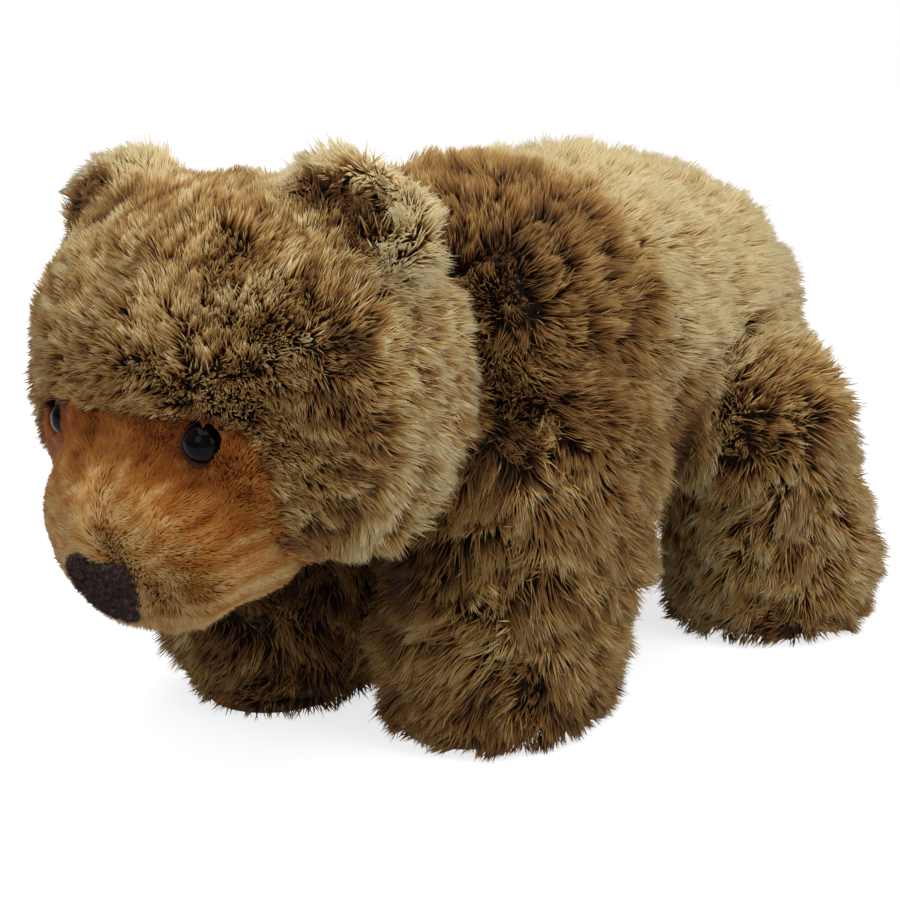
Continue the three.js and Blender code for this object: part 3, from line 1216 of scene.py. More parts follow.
@dataclass(frozen=True)
class EarCoat:
    """How the ears' pile changes: pale and long round the rim, dark and short in the dish."""

    ahead: Step = Step(0.2, 0.7)   # how far a face looks forwards
    dish: Step = Step(10, 19)      # from the ear's middle, where the dish ends
    dish_flat: float = 1.3         # how much wider the dish is than it is high
    dish_length: float = 8.0
    dish_shade: float = 0.75
    pale: float = 0.33

    def vary(self, values: Settings, ground: Ground) -> None:
        """Changes the settings on the ears.

        Args:
            values: the pile's settings, changed in place.
            ground: the skin's vertices.
        """
        for ear in EARS:
            inside = self.ahead.of(-ground.normals[:, 1:2]) * ground.on(ear)
            across = (ground.points - centre_of(ear.value))[:, (0, 2)] * np.array([1, self.dish_flat]) / MM
            dish = inside * (1 - self.dish.of(lengths_of(across)))
            values["length"] = blend(values["length"], self.dish_length, dish)
            values["shade"] = values["shade"] - self.pale * ground.on(ear) + self.dish_shade * dish


@dataclass(frozen=True)
class BodyCoat:
    """How the trunk and the neck change: a paler flank, partly painted light; painted light on the back's
    top; painted shade on the shoulders' tops, the chest and between the legs.
    """

    flank: Step = Step(-0.4, 0.1)  # how far a face looks up; the flank is paler, partly its own colour and partly painted light
    flank_back: Step = Step(5, 35)
    flank_pale_and_painted_light: float = 0.20
    top: Step = Step(0.3, 0.9)
    top_back: Step = Step(0, 25)
    top_painted_light: float = 0.03
    shoulder: Step = Step(0.2, 0.7)
    shoulder_painted_shade: float = 0.07
    chest: Step = Step(0.0, 0.6)   # how far a face looks down, for the painted shade on the chest
    chest_painted_shade: float = 0.52
    deep_painted_shade: float = 0.20

    def vary(self, values: Settings, ground: Ground) -> Array:
        """Changes the shade on the body.

        Args:
            values: the pile's settings, changed in place.
            ground: the skin's vertices.

        Returns:
            How far each vertex is in the dark under the head and between the legs, from 0 to 1.
        """
        up, back = ground.normals[:, 2:], ground.points[:, 1:2]
        flank = self.flank.of(up) * self.flank_back.along(back)
        top = self.top.of(up) * self.top_back.along(back)
        on_trunk = ground.on(Panel.TRUNK)
        # painted light on the back's top, and a paler flank that is partly painted light
        values["shade"] -= np.maximum(self.top_painted_light * top, self.flank_pale_and_painted_light * flank) * on_trunk
        # painted shade on the tops of the shoulders
        shoulder = self.shoulder.of(up) * (1 - self.top_back.along(back))
        values["shade"] += self.shoulder_painted_shade * shoulder * ground.on(Panel.TRUNK, Panel.NECK)
        # painted shade on the chest under the head, and between the legs
        chest = self.chest.of(-up) * ground.on(Panel.NECK, Panel.TRUNK)
        deep = ground.between_legs() * ground.on(*LEGS)
        values["shade"] += self.chest_painted_shade * chest + self.deep_painted_shade * deep
        return np.maximum(chest, deep)


@dataclass(frozen=True)
class Stance:
    """How a leg's pile falls."""

    parting: float         # y from the sole's middle, ahead of which the pile falls forwards
    spread: float          # how far it spreads over the floor at the foot


@dataclass(frozen=True)
class PileWay:
    """Which way the pile lies: back along the body, away from the brow and the nose, and down the legs."""

    swirl: tuple[float, float, float] = (0.0, -52.0, 8.0)   # where the head's pile parts, from its centre
    flank: Step = Step(0.2, 0.9)   # how far a face looks to the side
    flank_fall: float = 0.55       # how far the pile falls for each step back
    rump_from: float = 50          # the rump's start and its full fall, ahead of the trunk's end
    rump_to: float = 8
    rump_fall: float = 1.6
    cheek_out: Step = Step(30, 60)
    cheek_fall: float = 0.25
    brow_near: Step = Step(3, 11)  # from the muzzle
    brow_from: float = 2           # above the eyes' middle
    brow_to: float = 8
    brow_way: tuple[float, float, float] = (0.0, -0.4, -1.0)
    nose_up: float = 6             # above the nose's middle, where the muzzle's pile parts
    ear_in: float = 0.8            # an ear's foot across the head, as a share of its middle's place
    ear_up: float = 4
    foot: Step = Step(4, 40)
    front: Stance = Stance(12, 0.9)
    hind: Stance = Stance(-6, 0.2)
    leg_run: float = 30            # from the parting, where the pile is turned forwards in full
    most_back: float = 0.5         # how far it turns back, against forwards
    aside: float = 0.8             # how hard it turns either way, and how much harder at the foot
    aside_foot: float = 0.9
    foot_flat: float = 0.3         # how much less it falls at the foot
    tail_way: tuple[float, float, float] = (0.0, 0.7, -0.7)
    rounds: int = 8                # of smoothing
    turns: tuple[Uneven, ...] = (Uneven(20, 42, 13), Uneven(13, 15, 14))   # degrees along the skin

    def at(self, ground: Ground, furry: Array) -> Array:
        """The way that the pile lies along the skin.

        Args:
            ground: the skin's vertices.
            furry: which vertices the whorls turn.

        Returns:
            A unit vector in the skin's plane for each vertex.
        """
        points, normals, surface = ground.points, ground.normals, ground.skin.surface
        way = self.on_body(ground)
        way = np.where(ground.on(Panel.HEAD), self.on_head(ground), way)
        nose = centre_of("nose") + np.array([0, 0, self.nose_up * MM])
        way = np.where(ground.on(Panel.MUZZLE), unit(points - nose), way)
        for ear in EARS:
            low, high = box_of(ear.value)
            foot = np.array([(low[0] + high[0]) / 2 * self.ear_in, high[1], low[2] + self.ear_up * MM])
            way = np.where(ground.on(ear), unit(points - foot), way)
        for leg in LEGS:
            way = np.where(ground.on(leg), self.on_leg(leg, points), way)
        way = np.where(ground.on(Panel.TAIL), np.array(self.tail_way), way)
        for whorl in (SHOULDER_WHORL, HAUNCH_WHORL):
            away, weight = whorl.away(points)
            way = blend(unit(way), unit(flattened(away, normals)), weight * furry)
        way = unit(flattened(surface.smooth(flattened(way, normals), self.rounds), normals))
        turn = np.radians(sum(uneven.at(points) for uneven in self.turns))
        return np.cos(turn) * way + np.sin(turn) * np.cross(normals, way)

    def on_body(self, ground: Ground) -> Array:
        """Back along the body, falling on the flanks and down the rump.

        Args:
            ground: the skin's vertices.

        Returns:
            A vector for each vertex.
        """
        end = box_of("trunk")[1][1]
        rump = ease(ground.points[:, 1:2], end - self.rump_from * MM, end - self.rump_to * MM)
        way = np.tile([0.0, 1.0, 0.0], (ground.skin.surface.count, 1))
        way[:, 2:] -= self.flank_fall * self.flank.of(np.abs(ground.normals[:, :1])) + self.rump_fall * rump
        return way

    def on_head(self, ground: Ground) -> Array:
        """Away from the swirl on the brow, with a fringe that hangs over the muzzle's edge.

        Args:
            ground: the skin's vertices.

        Returns:
            A vector for each vertex.
        """
        points = ground.points
        way = unit(points - (centre_of("head") + np.array(self.swirl) * MM))
        way[:, 2:] -= self.cheek_fall * self.cheek_out.of(np.abs(points[:, :1] / MM))
        fringe = 1 - self.brow_near.of(ground.near("muzzle"))
        eyes = centre_of("eye_left")[2]
        fringe = fringe * ease(points[:, 2:], eyes + self.brow_from * MM, eyes + self.brow_to * MM)
        return blend(way, np.array(self.brow_way), fringe)

    def on_leg(self, leg: Panel, points: Array) -> Array:
        """Down a leg, to both sides of its parting, and out over the floor at the foot.

        Args:
            leg: the leg's panel.
            points: the skin's vertices, in metres.

        Returns:
            A vector for each vertex.
        """
        stance = self.front if "front" in leg.value else self.hind
        sole = centre_of(leg.value.replace("leg", "sole"))
        out = unit((points - sole) * np.array([1, 1, 0]))
        low = 1 - self.foot.along(points[:, 2:])
        aside = (points[:, 1:2] - (sole[1] + stance.parting * MM)) / (self.leg_run * MM)
        aside = np.clip(aside, -1, self.most_back) * (self.aside + self.aside_foot * low)
        down = np.array([0, 0, -1.0]) * (1 - self.foot_flat * low)
        return down + aside * np.array([0, 1.0, 0]) + out * stance.spread * low


# ---------------------------------------------------------------- coat


@dataclass
class Strands:
    """Fibre bundles as arrays: one row for each."""

    paths: Array      # each bundle's root, bend and tip, in metres
    widths: Array     # mm, at the bend
    across: Array     # a unit vector square to the bundle
    tone: Array
    shade: Array
    panel: Array
    bend: float            # the bend's place along a bundle

    def taken(self, which: Array) -> "Strands":
        """The bundles that which picks."""
        return Strands(self.paths[which], self.widths[which], self.across[which], self.tone[which],
                       self.shade[which], self.panel[which], self.bend)


class StrandMesh:
    """Builds a mesh of bundles, each a closed blade: a point, a bend of two corners and a point."""

    PATCH = 0.003          # size of one bundle's patch on the colour map
    FACES = ((0, 1, 2), (3, 2, 1), (0, 3, 1), (0, 2, 3))
    ACROSS = (0.5, 1.0, 0.0, 0.5)   # each vertex's place across the patch
    THINNEST = 0.3         # a blade's thickness as a share of its width
    THICKEST = 0.6         # mm
    STRAIGHT = 0.02        # mm that a bundle's bend stands off its chord when it counts as straight

    def __init__(self, strands: Strands, unwrap: Unwrap) -> None:
        """Keeps the bundles, and how their roots are laid flat."""
        self.strands = strands
        self.unwrap = unwrap

    def marks(self) -> Array:
        """Each vertex's place along its bundle."""
        return np.array([0.0] + [self.strands.bend] * (len(self.ACROSS) - 2) + [1.0])

    def vertices(self) -> Array:
        """Shapes each bundle's blade.

        Returns:
            The places of its vertices, bundle by bundle.
        """
        root, bend, tip = np.moveaxis(self.strands.paths, 1, 0)
        width = self.strands.widths[:, None] * MM
        chord = unit(tip - root)
        foot = root + chord * dot(bend - root, chord)
        out = bend - foot
        size = lengths_of(out)
        aside = unit(np.cross(chord, self.strands.across))
        out = np.where(size > self.STRAIGHT * MM, out / np.maximum(size, 1e-9), aside)
        ridge = foot + out * np.clip(size, self.THINNEST * width, self.THICKEST * MM)
        half = np.cross(chord, out) * width / 2
        return np.stack([root, ridge + half, ridge - half, tip], axis=1)

    def root_places(self) -> Array:
        """Lays the roots flat.

        Returns:
            Each root's place on the map, from 0 to 1 both ways.
        """
        roots = self.strands.paths[:, 0]
        centre = (roots.min(0) + roots.max(0)) / 2
        x, y, z = (roots - centre).T
        if self.unwrap is Unwrap.ROUND_Y:
            flat = np.stack([np.arctan2(x, z), y], axis=1)
        elif self.unwrap is Unwrap.ROUND_Z:
            flat = np.stack([np.arctan2(x, -y), z], axis=1)
        else:
            far = np.maximum(np.sqrt(x * x + y * y + z * z), 1e-9)
            flat = np.stack([np.arctan2(x, -y), z / far], axis=1)
        low, high = flat.min(0), flat.max(0)
        return (flat - low) / (high - low) * (1 - 2 * self.PATCH)

    def build(self, name: str) -> Object:
        """Makes the mesh and its object.

        Args:
            name: the piece's name.

        Returns:
            The piece, with its map and its attributes.
        """
        vertices, marks = self.vertices(), self.marks()
        corners = np.array(self.FACES).ravel()
        places = np.stack([np.array(self.ACROSS), marks], axis=1)[corners]
        count, each = vertices.shape[:2]
        mesh = bpy.data.meshes.new(name)
        mesh.vertices.add(count * each)
        mesh.vertices.foreach_set("co", vertices.astype(np.float32).ravel())
        mesh.loops.add(count * len(corners))
        loop_vertices = corners[None, :] + np.arange(count)[:, None] * each
        mesh.loops.foreach_set("vertex_index", loop_vertices.astype(np.int32).ravel())
        faces = count * len(self.FACES)
        mesh.polygons.add(faces)
        mesh.polygons.foreach_set("loop_start", np.arange(faces, dtype=np.int32) * 3)
        shade_smooth(mesh)
        mesh.update(calc_edges=True)
        flat = mesh.uv_layers.new(name="OFBake")
        spots = self.root_places()[:, None, :] + places[None] * self.PATCH
        flat.data.foreach_set("uv", spots.astype(np.float32).ravel())
        self.attribute(mesh, "along", np.tile(marks, count))
        self.attribute(mesh, "tone", np.repeat(self.strands.tone, each))
        self.attribute(mesh, "shade", np.repeat(self.strands.shade, each))
        return linked_object(name, mesh)

    @staticmethod
    def attribute(mesh: Mesh, name: str, values: Array) -> None:
        """Stores one number for each vertex."""
        mesh.attributes.new(name, "FLOAT", "POINT").data.foreach_set("value", values.astype(np.float32))


@dataclass(frozen=True)
class Chance:
    """How much of a bundle's difference it shares with its tuft, with its lock, and with none."""

    tuft: float
    lock: float
    own: float
    stray: float           # the same for a bundle that stands away from its tuft

    def of(self, tufted: Array, locked: Array, own: Array, stray: Array) -> Array:
        """Each bundle's difference, from random numbers of its tuft, its lock and its own."""
        return self.tuft * tufted + self.lock * locked + np.where(stray, self.stray, self.own) * own


@dataclass
class Coat:
    """The pile: where it grows, how it stands, and the pieces that it is split into."""

    skin: Skin
    seed: int = 7
    way: PileWay = PileWay()       # the way that it lies
    partings: Partings = Partings(apart=15, along=20, width=1.6, reach=6, turn=1.3, shade=0.16, seed=41)
    face_back: float = 4           # y from the head's centre where its pieces are split
    most_triangles: int = 199000

    blend_rounds: int = 6          # of smoothing of the settings from panel to panel
    uneven_length: Uneven = Uneven(0.07, 22, 11)
    uneven_lean: Uneven = Uneven(0.16, 26, 12)
    shed: float = 0.4              # how much thinner the coat is where the toy hides it from every side
    seam: float = 2.4              # width of the parted pile along the muzzle's top seams
    seam_cut: float = 0.2
    seam_shade: float = 0.10
    darkest: float = 0.36          # the most shade, so that tips stay golden everywhere
    darker_under: float = 0.26     # how much more painted shade there may be under the head and between the legs
    darker_muzzle: float = 0.16    # the same on the muzzle, round the eyes, for the rust and painted shade there

    drawn: float = 0.45            # how far patterns are drawn together along the pile
    head_drawn: tuple[float, float] = (0.3, 0.7)   # the same on the head: outwards, and round the swirl
    head_ring: float = 52          # mm round the swirl at which the head's pattern is true to size
    parting_back: Step = Step(0, 30)
    fewer_back: float = 0.8        # how much fewer partings there are on the back
    fewer_head: float = 0.6
    fold: float = 1.2              # mm from a parting to where the pile leans away in full
    streak: float = 0.06           # how much the dye differs from one streak of pile to the next
    streaks: Uneven = Uneven(1, 5, 51)

    under_cut: float = 0.4         # how much shorter the undercoat's bundles may be
    under_few: float = 1.5         # above 1, few of them are the shortest
    stray_share: float = 0.05      # of bundles that stand away from their tuft
    lock_size: float = 3.2         # how far apart locks stand, in tufts
    tuft_edge: float = 0.16        # how ragged a tuft's edge is, as a share of its size
    bend: float = 0.55             # where along its length a bundle bends
    wave_length: float = 12
    most_lean: float = 84
    turns: Chance = Chance(9, 10, 9, 30)           # degrees along the skin
    leans: Chance = Chance(4, 6, 6, 12)            # degrees from upright
    lengths: Chance = Chance(0.06, 0.06, 0.06, 0.06)
    tones: Chance = Chance(0.10, 0.10, 0.13, 0.13)
    patches: Uneven = Uneven(0.35, 9, 21)   # how much more tufts close up in one place than in another
    stray_gather: float = 0.25     # how far strays still follow their tuft, and their lock
    stray_lock: float = 0.3
    gather_spread: tuple[float, float] = (0.5, 1.3)
    width_spread: tuple[float, float] = (0.7, 1.3)
    most_gather: float = 0.95
    most_lock: float = 0.9
    gather_bend: float = 0.9       # above 1, bundles close up late along their length
    lock_bend: float = 1.3
    floor_clear: float = 0.3

    eye_front: float = 6           # mm behind an eye's middle from which the pile over it is cleared
    nose_near: float = 24          # mm round the nose's middle where its edge is looked for
    triangles: int = field(init=False, default=0)
    map: PileMap = field(init=False)

    MORE_STREAK = (((Panel.HEAD,), 1.4), (LEGS, 0.9), ((Panel.MUZZLE,), 0.7))
    WHORL_PILE = (("gather", 0.58), ("lock", 0.46), ("loose", 1.15))

    def build(self) -> None:
        """Grows the whole coat, long pile first."""
        self.map = self.pile_map()
        long_pile = LONG_PILE.material()
        short_pile = SHORT_PILE.material()
        growths = (((Panel.HEAD, *EARS), "long_pile", long_pile),
                   ((Panel.TRUNK, Panel.NECK, Panel.TAIL, *LEGS), "long_pile", long_pile),
                   ((Panel.MUZZLE,), "short_pile", short_pile))
        for panels, slot, material in growths:
            strands = self.grow(panels)
            for part, which, unwrap in self.split(strands):
                if which.any():
                    form = StrandMesh(strands.taken(which), unwrap)
                    self.piece(form, f"coat_{part}", material)
        LOG.info("coat: %d triangles", self.triangles)

    def piece(self, form: StrandMesh, name: str, material: Material) -> None:
        """Builds one coat piece and dresses it.

        Args:
            form: its mesh, not yet built.
            name: the piece's name.
            material: its material.
        """
        triangles = len(form.strands.paths) * len(form.FACES)
        if triangles > self.most_triangles:
            raise ValueError(f"{name} would have {triangles} triangles")
        self.triangles += triangles
        dress(form.build(name), (), (material,))

    def split(self, body: Strands) -> list[tuple[str, Array, Unwrap]]:
        """Names the coat's pieces, each small enough for one mesh.

        Args:
            body: the bundles to share out.

        Returns:
            Each piece's name, which bundles it takes and how it is unwrapped.
        """
        roots = body.paths[:, 0]
        on_left = roots[:, 0] >= 0

        def on(panel: Panel) -> Array:
            """Which bundles stand on a panel."""
            return body.panel == PANELS.index(panel)

        parts = []
        for panel in (*EARS, *LEGS, Panel.TAIL):
            unwrap = Unwrap.ROUND_Z if panel in LEGS else Unwrap.GLOBE
            parts.append((panel.value, on(panel), unwrap))
        head, trunk, muzzle = on(Panel.HEAD), on(Panel.TRUNK), on(Panel.MUZZLE)
        behind = roots[:, 1] > centre_of("head")[1] + self.face_back * MM
        hind = roots[:, 1] > centre_of("trunk")[1]
        for side, here in zip(SIDES, (on_left, ~on_left)):
            parts.append((f"face_{side}", head & here & ~behind, Unwrap.GLOBE))
            parts.append((f"nape_{side}", head & here & behind, Unwrap.GLOBE))
            parts.append((f"muzzle_{side}", muzzle & here, Unwrap.GLOBE))
            parts.append((f"back_fore_{side}", trunk & here & ~hind, Unwrap.ROUND_Y))
            parts.append((f"back_hind_{side}", trunk & here & hind, Unwrap.ROUND_Y))
        parts.append(("neck", on(Panel.NECK), Unwrap.ROUND_Y))
        return parts

    # -- the pile's settings over the skin

    def pile_map(self) -> PileMap:
        """Works out the pile's settings over the skin.

        Returns:
            The settings at each vertex.
        """
        skin, ground = self.skin, Ground(self.skin)
        points = ground.points
        values = {name: skin.of_panels({panel: getattr(pile, name) for panel, pile in PILES.items()})
                  for name in CHANGING}
        values["shade"] = np.zeros((skin.surface.count, 1))
        for coat in (HeadCoat(), LegCoat(), MuzzleCoat(), EarCoat()):
            coat.vary(values, ground)
        on_muzzle = ground.on(Panel.MUZZLE)
        for name, value in values.items():
            values[name] = np.where(on_muzzle, value, self.smooth_apart(value, ~on_muzzle))
        values["density"] *= 1 - self.shed * self.hidden(ground)
        dark = BodyCoat().vary(values, ground)
        furry = ~ground.on(Panel.HEAD, Panel.MUZZLE, *EARS)
        self.part_at_whorls(values, points, furry)
        seam = bell(skin.seam_distance(points), self.seam) * on_muzzle
        values["length"] *= 1 - self.seam_cut * seam
        values["shade"] += self.seam_shade * seam
        lie = self.part(values, self.way.at(ground, furry), ground)
        deeper = np.maximum(self.darker_under * dark, self.darker_muzzle * on_muzzle)
        values["shade"] = np.minimum(values["shade"], self.darkest + deeper)
        values["length"] *= 1 + self.uneven_length.at(points)
        for name in ("lean_root", "lean_tip"):
            values[name] *= 1 + self.uneven_lean.at(points)
        return PileMap(values, lie)

    def part_at_whorls(self, values: Settings, points: Array, furry: Array) -> None:
        """Stands the pile up at the whorls' middles, and leans it away round them.

        Args:
            values: the pile's settings, changed in place.
            points: the skin's vertices, in metres.
            furry: which vertices the whorls change.
        """
        for whorl in (SHOULDER_WHORL, HAUNCH_WHORL):
            away, weight = whorl.away(points)
            lean = np.minimum(lengths_of(away) / whorl.core, 1)
            leans = (("lean_root", whorl.root_share * whorl.lean * lean), ("lean_tip", whorl.lean * lean))
            for name, there in leans + self.WHORL_PILE:
                values[name] = blend(values[name], there, weight * furry)
            # painted shade on the parted pile round each whorl
            values["shade"] += whorl.shade * weight * furry

    def drawn_out(self, ground: Ground) -> Array:
        """Draws places together along the pile, so that a pattern read there follows it in streaks.

        Args:
            ground: the skin's vertices.

        Returns:
            Each vertex's place in the pattern, in metres.
        """
        points = ground.points
        places = points * np.array([1, self.drawn, 1])
        places = np.where(ground.on(*LEGS), points * np.array([1, 1, self.drawn]), places)
        away = points - (centre_of("head") + np.array(self.way.swirl) * MM)
        outwards, around = self.head_drawn
        ring = outwards * away + around * unit(away) * self.head_ring * MM
        return np.where(ground.on(Panel.HEAD), ring, places)

    def part(self, values: Settings, lie: Array, ground: Ground) -> Array:
        """Parts the long pile along short lines, and streaks its dye.

        Args:
            values: the pile's settings, changed in place.
            lie: the way that the pile lies.
            ground: the skin's vertices.

        Returns:
            The way that it lies now.
        """
        points, partings = ground.points, self.partings
        places = self.drawn_out(ground)
        distance, weight = partings.at(places, points)
        weight = weight * ~ground.on(Panel.MUZZLE, *EARS)
        back = self.parting_back.along(points[:, 1:2]) * ground.on(Panel.TRUNK)
        weight = weight * (1 - self.fewer_back * back) * (1 - self.fewer_head * ground.on(Panel.HEAD))
        more = sum(share * ground.on(*panels) for panels, share in self.MORE_STREAK)
        values["shade"] += self.streak * (1 + more) * self.streaks.at(places)
        # painted shade along the partings
        values["shade"] += partings.shade * (bell(distance, partings.width) * weight)
        side = np.tanh(distance / self.fold)
        near = bell(distance, partings.reach) * weight
        lie = lie + self.slope(distance, points) * side * near * partings.turn
        return unit(flattened(lie, ground.normals))

    def slope(self, values: Array, points: Array) -> Array:
        """The unit direction along the skin in which a value rises fastest.

        Args:
            values: one number for each vertex, as a column.
            points: the vertices.

        Returns:
            A vector for each vertex.
        """
        surface = self.skin.surface
        first, second = surface.edges.T
        step = points[second] - points[first]
        rise = (values[second] - values[first]) * step / np.maximum(dot(step, step), 1e-12)
        total = np.zeros_like(points)
        for column in range(3):
            total[:, column] = (np.bincount(first, rise[:, column], surface.count)
                                + np.bincount(second, rise[:, column], surface.count))
        return unit(surface.smooth(total, 1))

    def hidden(self, ground: Ground) -> Array:
        """Finds what is out of sight: what is under the belly, and the legs' inner sides.

        Args:
            ground: the skin's vertices.

        Returns:
            How far each vertex is hidden, from 0 to 1.
        """
        inward, under = Step(0.2, 0.8), Step(0.3, 0.8)
        inner = inward.of(-ground.normals[:, :1] * np.sign(ground.points[:, :1])) * ground.on(*LEGS)
        return np.maximum(inner, under.of(-ground.normals[:, 2:]) * ~ground.on(Panel.MUZZLE, *EARS))

    def smooth_apart(self, value: Array, inside: Array) -> Array:
        """Smooths a value over the vertices inside, without taking in the others.

        Args:
            value: one row for each vertex.
            inside: which vertices take part, as a column.

        Returns:
            The smoothed value.
        """
        weight = inside.astype(float)
        mixed = np.concatenate([value * weight, weight], axis=1)
        mixed = self.skin.surface.smooth(mixed, self.blend_rounds)
        return mixed[:, :-1] / np.maximum(mixed[:, -1:], 1e-6)

    # -- growing

    def roots(self, panels: tuple[Panel, ...], draw: np.random.Generator) -> tuple[Array, Array]:
        """Draws where the bundles stand.

        Args:
            panels: where this growth stands; each square of cloth belongs to its first corner's panel.
            draw: the random generator.

        Returns:
            The corners of each bundle's quad, and their weights.
        """
        corners = self.skin.surface.quads()
        density = self.map.numbers["density"][corners, 0].mean(1) * self.skin.on(*panels)[corners[:, 0]]
        wanted = density * self.skin.surface.areas() / MM ** 2
        number = np.floor(wanted + draw.random(len(wanted))).astype(int)
        quad = np.repeat(np.arange(len(corners)), number)
        s, t = draw.random((2, len(quad)))
        weights = np.stack([(1 - s) * (1 - t), s * (1 - t), s * t, (1 - s) * t], axis=1)
        return corners[quad], weights

    def tufts(self, roots: Array, spacing: Array, draw: np.random.Generator) -> Array:
        """Groups the bundles round hearts, one of them in each cell of a grid over space.

        Args:
            roots: their places, in metres.
            spacing: the distance between tufts at each, in mm.
            draw: the random generator.

        Returns:
            For each bundle, the number of the bundle at the heart of its tuft.
        """
        large_primes = np.array([73856093, 19349663, 83492791])   # so that few cells share a key
        cells = np.floor(roots / (spacing[:, None] * MM)).astype(np.int64)
        key = (cells * large_primes).sum(1) * 64 + np.round(spacing * 4)
        order = draw.permutation(len(roots))
        hearts = order[np.unique(key[order], return_index=True)[1]]
        tree = tree_of(roots, hearts)
        asked = roots + draw.normal(size=roots.shape) * (spacing[:, None] * MM * self.tuft_edge)
        return np.array([tree.find(point)[1] for point in asked])

    def grow(self, panels: tuple[Panel, ...]) -> Strands:
        """Grows the bundles of some panels.

        Args:
            panels: where they grow.

        Returns:
            The bundles.
        """
        draw = np.random.default_rng(self.seed + len(panels))
        corners, weights = self.roots(panels, draw)
        surface, count = self.skin.surface, len(corners)

        def at(values: Array) -> Array:
            """The value of each bundle's root."""
            return (values[corners] * weights[..., None]).sum(1)

        roots, normals, lie = at(surface.points), unit(at(surface.normals)), at(self.map.lie)
        lie = unit(flattened(lie, normals))
        number = {name: at(values)[:, 0] for name, values in self.map.numbers.items()}
        heart = self.tufts(roots, number["tuft"], draw)
        lock = self.tufts(roots, number["tuft"] * self.lock_size, draw)

        own, tufted = draw.normal(size=(count, 4)), draw.normal(size=(count, 4))[heart]
        locked = draw.normal(size=(count, 3))[lock]
        stray, loose = draw.random(count) < self.stray_share, number["loose"]
        turn = self.turns.of(tufted[:, 0], locked[:, 0], own[:, 0], stray)
        turn = np.radians(turn * loose)[:, None]
        lie = np.cos(turn) * lie + np.sin(turn) * np.cross(normals, lie)
        lean = self.leans.of(tufted[:, 1], locked[:, 1], own[:, 1], stray) * loose
        differ = self.lengths.of(tufted[:, 2], locked[:, 2], own[:, 2], stray)
        length = number["length"] * (1 + loose * differ)
        length *= 1 - self.under_cut * loose * draw.random(count) ** self.under_few

        place = np.array([0, self.bend, 1.0])
        paths = self.leaning_paths(place, length, lean, number, normals, lie)
        side = np.cross(normals, lie)
        phase = tufted[:, 3:] * math.pi
        sway = np.sin(2 * math.pi * place * length[:, None] / self.wave_length + phase) - np.sin(phase)
        paths += side[:, None] * (sway * place * number["wave"][:, None] * MM)[..., None]
        paths += roots[:, None]

        closed = 1 + self.patches.at(roots)[:, 0]
        pull = number["gather"] * closed * np.where(stray, self.stray_gather, 1)
        pull = pull * draw.uniform(*self.gather_spread, count)
        pull = np.clip(pull, 0, self.most_gather)[:, None] * place ** self.gather_bend
        paths = blend(paths, paths[heart], pull[..., None])
        pull = number["lock"] * closed * np.where(stray, self.stray_lock, 1)
        pull = pull[:, None] * place ** self.lock_bend
        paths = blend(paths, paths[lock], np.clip(pull, 0, self.most_lock)[..., None])
        paths[:, 1:, 2] = np.maximum(paths[:, 1:, 2], self.floor_clear * MM)

        widths = number["width"] * draw.uniform(*self.width_spread, count)
        tone = self.tones.of(tufted[:, 2], locked[:, 2], own[:, 3], stray) * np.minimum(loose, 1)
        tone = np.clip(0.5 + tone, 0, 1)
        panel = self.skin.panel[corners[:, 0]]
        strands = Strands(paths, widths, side, tone, number["shade"], panel, self.bend)
        return strands.taken(self.clear_of_face(strands))

    def leaning_paths(self, place: Array, length: Array, lean: Array, number: Settings, normals: Array,
                      lie: Array) -> Array:
        """Lays each bundle out from its root, leaning more towards its tip.

        Args:
            place: where along a bundle its points are.
            length: each bundle's length, in mm.
            lean: how many degrees more than usual it leans.
            number: the pile's settings at each root.
            normals: the skin's normal there.
            lie: the way that the bundle leans.

        Returns:
            Each bundle's points, in metres from its root.
        """
        middle = (place[1:] + place[:-1]) / 2
        angle = np.radians(number["lean_root"][:, None] + lean[:, None]
                           + (number["lean_tip"] - number["lean_root"])[:, None] * middle)
        angle = np.clip(angle, 0, math.radians(self.most_lean))[..., None]
        step = np.cos(angle) * normals[:, None] + np.sin(angle) * lie[:, None]
        step = step * (length[:, None] * np.diff(place) * MM)[..., None]
        return np.concatenate([np.zeros((len(length), 1, 3)), np.cumsum(step, axis=1)], axis=1)

    def clear_of_face(self, strands: Strands) -> Array:
        """Which bundles leave the eyes and the nose free.

        Args:
            strands: the bundles.

        Returns:
            Whether each is kept.
        """
        keep = np.ones(len(strands.paths), bool)
        for side in SIDES:
            eye = Eye(side)
            centre, axis = eye.centre_and_axis()
            for place in range(strands.paths.shape[1]):
                away = strands.paths[:, place] - centre
                ahead = away @ axis
                off_axis = np.linalg.norm(away - ahead[:, None] * axis, axis=1)
                above = away[:, 2] / np.maximum(off_axis, 1e-9)
                rim = blend(eye.clear_radius, eye.brow_radius, eye.brow.of(above))
                limit = (eye.disc_radius if place == 0 else rim) * MM
                keep &= ~((off_axis < limit) & (ahead > -self.eye_front * MM))
        roots = strands.paths[:, 0]
        from_nose = np.linalg.norm(roots - centre_of("nose"), axis=1)
        close = np.flatnonzero(from_nose < self.nose_near * MM)
        keep[close[distance_from("nose", roots[close])[:, 0] < Nose.PILE_GAP]] = False
        return keep


# ---------------------------------------------------------------- eyes, nose and soles


